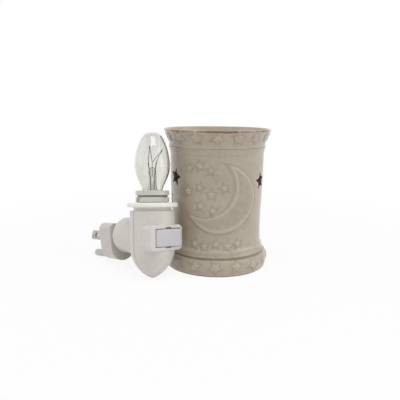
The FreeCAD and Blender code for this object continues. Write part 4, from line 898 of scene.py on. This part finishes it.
outside = (shade_profile[:, 0] > OUTER_RADIUS) & (shade_profile[:, 1] > OUTER_FOOT)
rows = chosen_rows(shade_profile, outside, close=0.52, far=3.0)
radius, _, height = wall = carried_round(shade_profile[rows], COLUMNS)
outer = outside[rows][:, None]
on_wall_rows = outer & (height < COLLAR_HEIGHT)
lift, shift = wall_relief(wall)
lift = np.where(on_wall_rows, lift, 0.0) * RELIEF
lift += ROLL_RISE * hump(height - ROLL_HEIGHT, ROLL_WIDTH) * outer
glaze_and_shade = GLAZE_LEVEL + np.where(on_wall_rows, shift, 0)
glaze_and_shade += FOOT_BARE_AND_SHADE * hump(height, FOOT_BARE_SHADE_WIDTH) * (radius > SEAT_RADIUS)
for level, width, change in RINGS:
    glaze_and_shade += change * hump(height - level, width) * outer
glaze_and_shade += VENT_THIN * vent_edge(wall) * on_wall_rows
# the inside is lighter and warmer: painted warm light bounced inside the shade
past_seat = rows > np.argmax(shade_profile[:, 1]) + WALL / FINE
glaze_and_shade += INSIDE_PAINTED_BOUNCE * past_seat[:, None]
shade_points = lifted(wall, lift, outward(shade_profile)[rows], glaze_and_shade)
shade = closed_piece("ceramic_shade", shade_points, glaze, wrap_rows=True)
print("shade:", radius.shape, "points")

# %% Star openings
CUT_FROM, CUT_TO = 15.0, 36.0    # radii between which a prism reaches


def star_prism(vent_azimuth, vent_height, vent_turn):
    """A star's corners at two depths, turned to the opening's azimuth: tips at the star's radius
    and waists at its share of it."""
    step = np.arange(2 * STAR_TIPS)
    reach = np.where(step % 2 == 0, VENT_STAR_RADIUS, VENT_STAR_RADIUS * STAR_WAIST)
    angle = np.radians(vent_turn) + step * TENTH
    across, up = reach * np.sin(angle), reach * np.cos(angle) + vent_height
    turn = np.radians(vent_azimuth)
    return np.stack([
        np.stack([across * np.cos(turn) + depth * np.sin(turn),
                  across * np.sin(turn) - depth * np.cos(turn), up], 1)
        for depth in (CUT_FROM, CUT_TO)])


corners, faces = np.zeros((0, 3)), []
for vent in VENTS:
    prism_corners, prism_faces = closed_grid(star_prism(*vent))
    faces += [[corner + len(corners) for corner in face] for face in prism_faces]
    corners = np.vstack([corners, prism_corners])
cutters = meshed("cutters", corners, faces)
opening = shade.modifiers.new("openings", "BOOLEAN")
opening.operation = "DIFFERENCE"
opening.solver = "EXACT"
opening.object = cutters
bpy.context.view_layer.update()
ready = shade.evaluated_get(bpy.context.evaluated_depsgraph_get())
cut_shade = bpy.data.meshes.new_from_object(ready)
shade.modifiers.clear()
shade.data = cut_shade
bpy.data.objects.remove(cutters)
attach(shade, "shade")
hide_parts("shade_body")
print("shade with openings:", len(cut_shade.polygons), "faces")

# %% [markdown]
# ## The wax dish
# The dish has the same starred band and a smooth bowl. The glaze breaks to brown on its rim, so
# the attribute rises along the lip. How brown the lip is changes round the dish, as two waves of
# three and seven lengths that meet at the front.

# %% Dish surface
RIM_RADIUS, RIM_HEIGHT, RIM_ROUND, BOWL_RADIUS = 35.9, 93.3, 1.0, 33.9
INNER_RIM, OUTER_RIM = (BOWL_RADIUS, RIM_HEIGHT - RIM_ROUND), (RIM_RADIUS, 92.3)
FLARE_FOOT, FLARE_ARC = (32.5, 84.2), (33.724, 88.25)
BASE_EDGE, BASE_ARC, LOCATE_FOOT = (19.0, 74.6), (25.14, 76.28), (28.9, 79.64)
BOWL = (INNER_RIM, (BOWL_RADIUS * 0.93, 86.51), (BOWL_RADIUS * 0.82, 81.0),
        (BOWL_RADIUS * 0.60, 78.2), (BOWL_RADIUS * 0.45, 77.6))
BAND_INNER_RADIUS, POLE_ROWS = 32.0, 3
LIP_DROP, LIP_WIDTH = 0.8, 1.15
LIP_BROWN, LIP_WAVE = 0.47, 0.135
BROWN_PATCH = 0.1    # azimuth, in radians, where the lip is brownest
EDGE_RISE, EDGE_WIDTH, EDGE_THIN = 0.5, 0.45, 0.14    # the band's lower edge

dish_profile = softened(joined([
    edges((0, BASE_EDGE[1]), BASE_EDGE),
    smooth_run([BASE_EDGE, BASE_ARC, LOCATE_FOOT]),
    edges(LOCATE_FOOT, (LOCATE_FOOT[0], SHADE_HEIGHT), (FLARE_FOOT[0], SHADE_HEIGHT), FLARE_FOOT),
    bowed(FLARE_FOOT, FLARE_ARC, OUTER_RIM),
    bowed(OUTER_RIM, (RIM_RADIUS - RIM_ROUND, RIM_HEIGHT), INNER_RIM),
    smooth_run(BOWL),
    edges(BOWL[-1], (0, BOWL[-1][1])),
]), False)
outside = (dish_profile[:, 0] > BAND_INNER_RADIUS) & (dish_profile[:, 1] > SHADE_HEIGHT + 0.5)
rows = chosen_rows(dish_profile, outside, close=0.45, far=2.0)
rows = rows[(rows >= POLE_ROWS) & (rows < len(dish_profile) - POLE_ROWS)]
radius, azimuth, height = wall = carried_round(dish_profile[rows], COLUMNS)
lift, shift = band_relief(wall, (FLARE_FOOT[1] + OUTER_RIM[1]) / 2)
below_rim = np.arange(len(rows)) < np.argmax(dish_profile[rows, 1])
on_band = below_rim[:, None] & (height > FLARE_FOOT[1])
lift = np.where(on_band, lift, 0.0) * RELIEF
from_patch = azimuth - BROWN_PATCH
browning = LIP_BROWN + LIP_WAVE * (np.cos(3 * from_patch) + np.cos(7 * from_patch))
from_lip = np.hypot(radius - RIM_RADIUS, height - (RIM_HEIGHT - LIP_DROP))
low_edge = hump(height - SHADE_HEIGHT - EDGE_RISE, EDGE_WIDTH) * (radius > BAND_INNER_RADIUS)
glaze_and_shade = GLAZE_LEVEL + np.where(on_band, shift, 0) + browning * hump(from_lip, LIP_WIDTH)
glaze_and_shade += EDGE_THIN * low_edge
dish_points = lifted(wall, lift, outward(dish_profile)[rows], glaze_and_shade)
dish = closed_piece("ceramic_dish", dish_points, glaze)
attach(dish, "dish")
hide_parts("wax_dish")
print("dish:", radius.shape, "points")

# %% [markdown]
# ## Moulded edges
# No moulded part has a knife edge: the tool leaves a small radius, and where the two shells meet
# these radii make the thin seam on the housing, which painted shade darkens further. A copy of each
# solid is welded into one mesh, its flat areas are joined, and a Bevel modifier rounds every edge
# that turns sharply. Weighted normals then let the large faces decide the shading.

# %% Moulded pieces
WELD = 1e-6
FLAT_ANGLE, SHARP_ANGLE = math.radians(0.5), math.radians(42)
MOULDED = (    # new piece, solid of the frame, body, slot, finish, edge radius
    ("shell_front", "front_housing", "lamp_unit", "white_plastic", shell_white, 0.25),
    ("shell_rear", "rear_housing", "lamp_unit", "white_plastic", shell_white, 0.25),
    ("holder_rings", "lampholder", "lamp_unit", "white_plastic", holder_white, 0.18),
    ("plug_shell", "plug_body", "swivel_plug", "white_plastic", plug_white, 0.25),
    ("switch_rocker", "rocker", "rocker", "switch_white", rocker_white, 0.6),
)


def moulded(name, node, radius):
    """A welded copy of a solid's mesh with its sharp edges rounded by radius millimetres."""
    mesh = nodes[node].data.copy()
    mesh.name = name
    work = bmesh.new()
    work.from_mesh(mesh)
    bmesh.ops.remove_doubles(work, verts=work.verts, dist=WELD)
    bmesh.ops.dissolve_limit(work, angle_limit=FLAT_ANGLE, verts=work.verts, edges=work.edges)
    work.to_mesh(mesh)
    work.free()
    if "custom_normal" in mesh.attributes:
        mesh.attributes.remove(mesh.attributes["custom_normal"])
    mesh.shade_smooth()
    piece = placed(name, mesh)
    edge = piece.modifiers.new("mould_radius", "BEVEL")
    edge.width = radius * MM
    edge.segments = 2
    edge.limit_method = "ANGLE"
    edge.angle_limit = SHARP_ANGLE
    edge.use_clamp_overlap = False
    even = piece.modifiers.new("even_normals", "WEIGHTED_NORMAL")
    even.keep_sharp = False
    return piece


for name, node, body_name, slot_name, finish, radius in MOULDED:
    piece = moulded(name, node, radius)
    wear(piece, finish)
    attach(piece, body_name)
    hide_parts(node)
    print(name, len(piece.data.polygons), "faces before the bevel")

# %% [markdown]
# ## The bulb's glass
# The envelope is a candle shape: a narrow neck, its widest point below the middle, and a rounded
# top. One smooth curve is carried round the axis as a single skin, and a Solidify modifier gives it
# a wall.

# %% Bulb envelope
CAP_TOP, GLASS_FOOT, BULB_TOP = 53.5, 53.1, 92.7
BULB_RADIUS, GLASS_WALL = 11.25, 0.6
SKIN_STEP, POLE_RADIUS = 0.6, 0.25
GLASS_SHARES = np.array([    # shares of the radius and of the glass's height
    (0.53, 0), (0.6, 0.09), (0.765, 0.2), (0.935, 0.328), (1, 0.457), (0.965, 0.586),
    (0.875, 0.715), (0.72, 0.841), (0.525, 0.938), (0.39, 0.972), (0, 1)])


def turned(radius, angle, up):
    """Points of a turned shape about the z axis."""
    return np.stack([radius * np.cos(angle), radius * np.sin(angle), up], -1)


def walled(piece, name, thickness):
    """A wall of the given thickness, in millimetres, inside a single skin."""
    wall = piece.modifiers.new(name, "SOLIDIFY")
    wall.thickness = thickness * MM
    wall.offset = -1


knots = GLASS_SHARES * (BULB_RADIUS, BULB_TOP - GLASS_FOOT) + (0, GLASS_FOOT)
past_top = knots[-2:-4:-1] * (-1, 1)    # carried on over the top, so that it is round there
skin = smooth_run(np.vstack([knots, past_top]))
skin = evenly(skin[:np.argmax(skin[:, 0] < POLE_RADIUS)], SKIN_STEP)
skin_points = turned(*carried_round(skin, columns=96))
envelope = closed_piece("bulb_envelope", in_unit(skin_points), clear_glass, shut=(False, True))
walled(envelope, "glass_wall", GLASS_WALL)
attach(envelope, "bulb")
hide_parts("bulb_glass")
print("envelope:", len(skin), "rows")

# %% [markdown]
# ## The glass stem
# Inside the neck a glass tube flares out to meet the envelope. Its top is pressed flat round the
# wires, so the section turns from a circle into an oval.

# %% Stem
STEM_FOOT, STEM_TOP, STEM_WALL = 53.9, 70.5, 0.45
PRESS_MIDDLE, PRESS_RISE, PRESS_DEPTH = 64.0, 4.0, 0.45    # where and how far it is flattened
LEAD_TURN = -40.0    # plane of the leads, about the bulb's axis


def in_bulb(points):
    """Points of the bulb's inside, drawn in the plane of the leads, where the unit has them."""
    return in_unit(points @ turning("Z", LEAD_TURN).T)


stem_profile = smooth_run([
    (4.4, STEM_FOOT), (2.95, 57.6), (2.6, 62.5), (2.45, 67.5), (1.8, 69.6),
    (0.5, STEM_TOP - 0.12)], step=0.35)
radius, angle, up = carried_round(stem_profile, columns=48)
stem_points = turned(radius, angle, up)
stem_points[..., 1] *= 1 - PRESS_DEPTH * soft_step(PRESS_MIDDLE - up, PRESS_RISE)
stem = closed_piece("bulb_stem_glass", in_bulb(stem_points), clear_glass, shut=(False, True))
walled(stem, "tube_wall", STEM_WALL)
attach(stem, "bulb")
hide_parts("bulb_stem")
print("stem:", radius.shape, "points")

# %% [markdown]
# ## Wires
# A wire is a small circle carried along a path. The circle stands square to the path at each point,
# so the tube never pinches. The filament is the same tube along a helix, which follows the zigzag
# between the leads and the support.

# %% Tube along a path
SIDEWAYS = (0.03, 1.0, 0.02)    # no wire runs this way
PER_TURN = 10    # points on each turn of a coil


def headings(path):
    """Two unit directions square to a path: the first is also square to a fixed sideways line, and
    the second is their cross product."""
    along = unit(np.gradient(path, axis=0))
    across = unit(np.cross(along, SIDEWAYS))
    return across, np.cross(along, across)


def tube(path, thickness, sides=8):
    """Grid of points round a path: centre plus thickness times cosine and sine of the turn in the
    two square directions. The thickness is one number, or one for each point of the path."""
    thickness = np.broadcast_to(thickness, len(path))[:, None, None]
    across, beyond = headings(path)
    turn = np.linspace(0, math.tau, sides, endpoint=False)
    ring = np.cos(turn)[:, None] * across[:, None] + np.sin(turn)[:, None] * beyond[:, None]
    return path[:, None] + thickness * ring


def helix(path, radius, pitch):
    """A coil round a path: the turn grows with the distance along it."""
    length = travelled(path)[-1]
    at = np.linspace(0, length, int(length / pitch * PER_TURN))
    centre = points_at(path, at)
    across, beyond = headings(centre)
    turn = (at / pitch * math.tau)[:, None]
    return centre + radius * (np.cos(turn) * across + np.sin(turn) * beyond)


def rounded(corners, step=0.4, reach=3):
    """A path through corners in space, softened by the plain mean of the neighbours."""
    path = evenly(np.array(corners, float), step)
    return averaged(path, np.full(2 * reach + 1, 1 / (2 * reach + 1)))


print("wire helpers ready")

# %% Leads, support and filament
LEAD_RADIUS, SUPPORT_WIRE, COIL_WIRE, COIL_RADIUS, COIL_PITCH = 0.28, 0.15, 0.07, 0.2, 0.26
LEAD_SPREAD, LEAD_TOP = 2.6, CAP_TOP + 20.0
LEAD_INSIDE, LEAD_BEND = LEAD_SPREAD * 0.42, CAP_TOP + 9.35
CRIMP_DROP, CRIMP_WIDTH, CRIMP_SHARE = 0.6, 0.7, 0.5
HOOK_FOOT, HOOK_TOP = CAP_TOP + 10.2, CAP_TOP + 19.6
COIL_LOW, COIL_MIDDLE = LEAD_TOP + 0.2, HOOK_TOP + 0.2
COIL_LEFT, COIL_RIGHT = (-1.6, 0, LEAD_TOP + 10.6), (6.6, 0, LEAD_TOP + 8.2)


def wire_piece(name, grid, node, finish):
    """A closed wire that rides on the bulb and stands for a solid of the frame."""
    piece = closed_piece(name, in_bulb(grid), finish)
    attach(piece, "bulb")
    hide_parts(node)


for name, side in (("lead_left", -1), ("lead_right", 1)):
    lead_path = rounded([
        (side * LEAD_INSIDE, 0, STEM_FOOT), (side * LEAD_INSIDE, 0, LEAD_BEND),
        (side * LEAD_SPREAD, 0, LEAD_TOP)])
    crimp = 1 + CRIMP_SHARE * hump(lead_path[:, 2] - LEAD_TOP + CRIMP_DROP, CRIMP_WIDTH)
    lead = tube(lead_path, LEAD_RADIUS * crimp, sides=12)
    wire_piece(name, lead, "lead_wires", wire_dark)
hook_path = evenly(np.array([(0, 0, HOOK_FOOT), (0, 0, HOOK_TOP)]), step=0.4)
support = tube(hook_path, SUPPORT_WIRE)
wire_piece("filament_hook", support, "filament_support", wire_dark)
coil_path = rounded([
    (-LEAD_SPREAD, 0, COIL_LOW), COIL_LEFT, (0, 0, COIL_MIDDLE), COIL_RIGHT,
    (LEAD_SPREAD, 0, COIL_LOW)], step=0.2, reach=2)
coil = tube(helix(coil_path, COIL_RADIUS, COIL_PITCH), COIL_WIRE, sides=5)
wire_piece("filament_coil", coil, "filament", tungsten)
print("coil:", coil.shape[0], "rings")
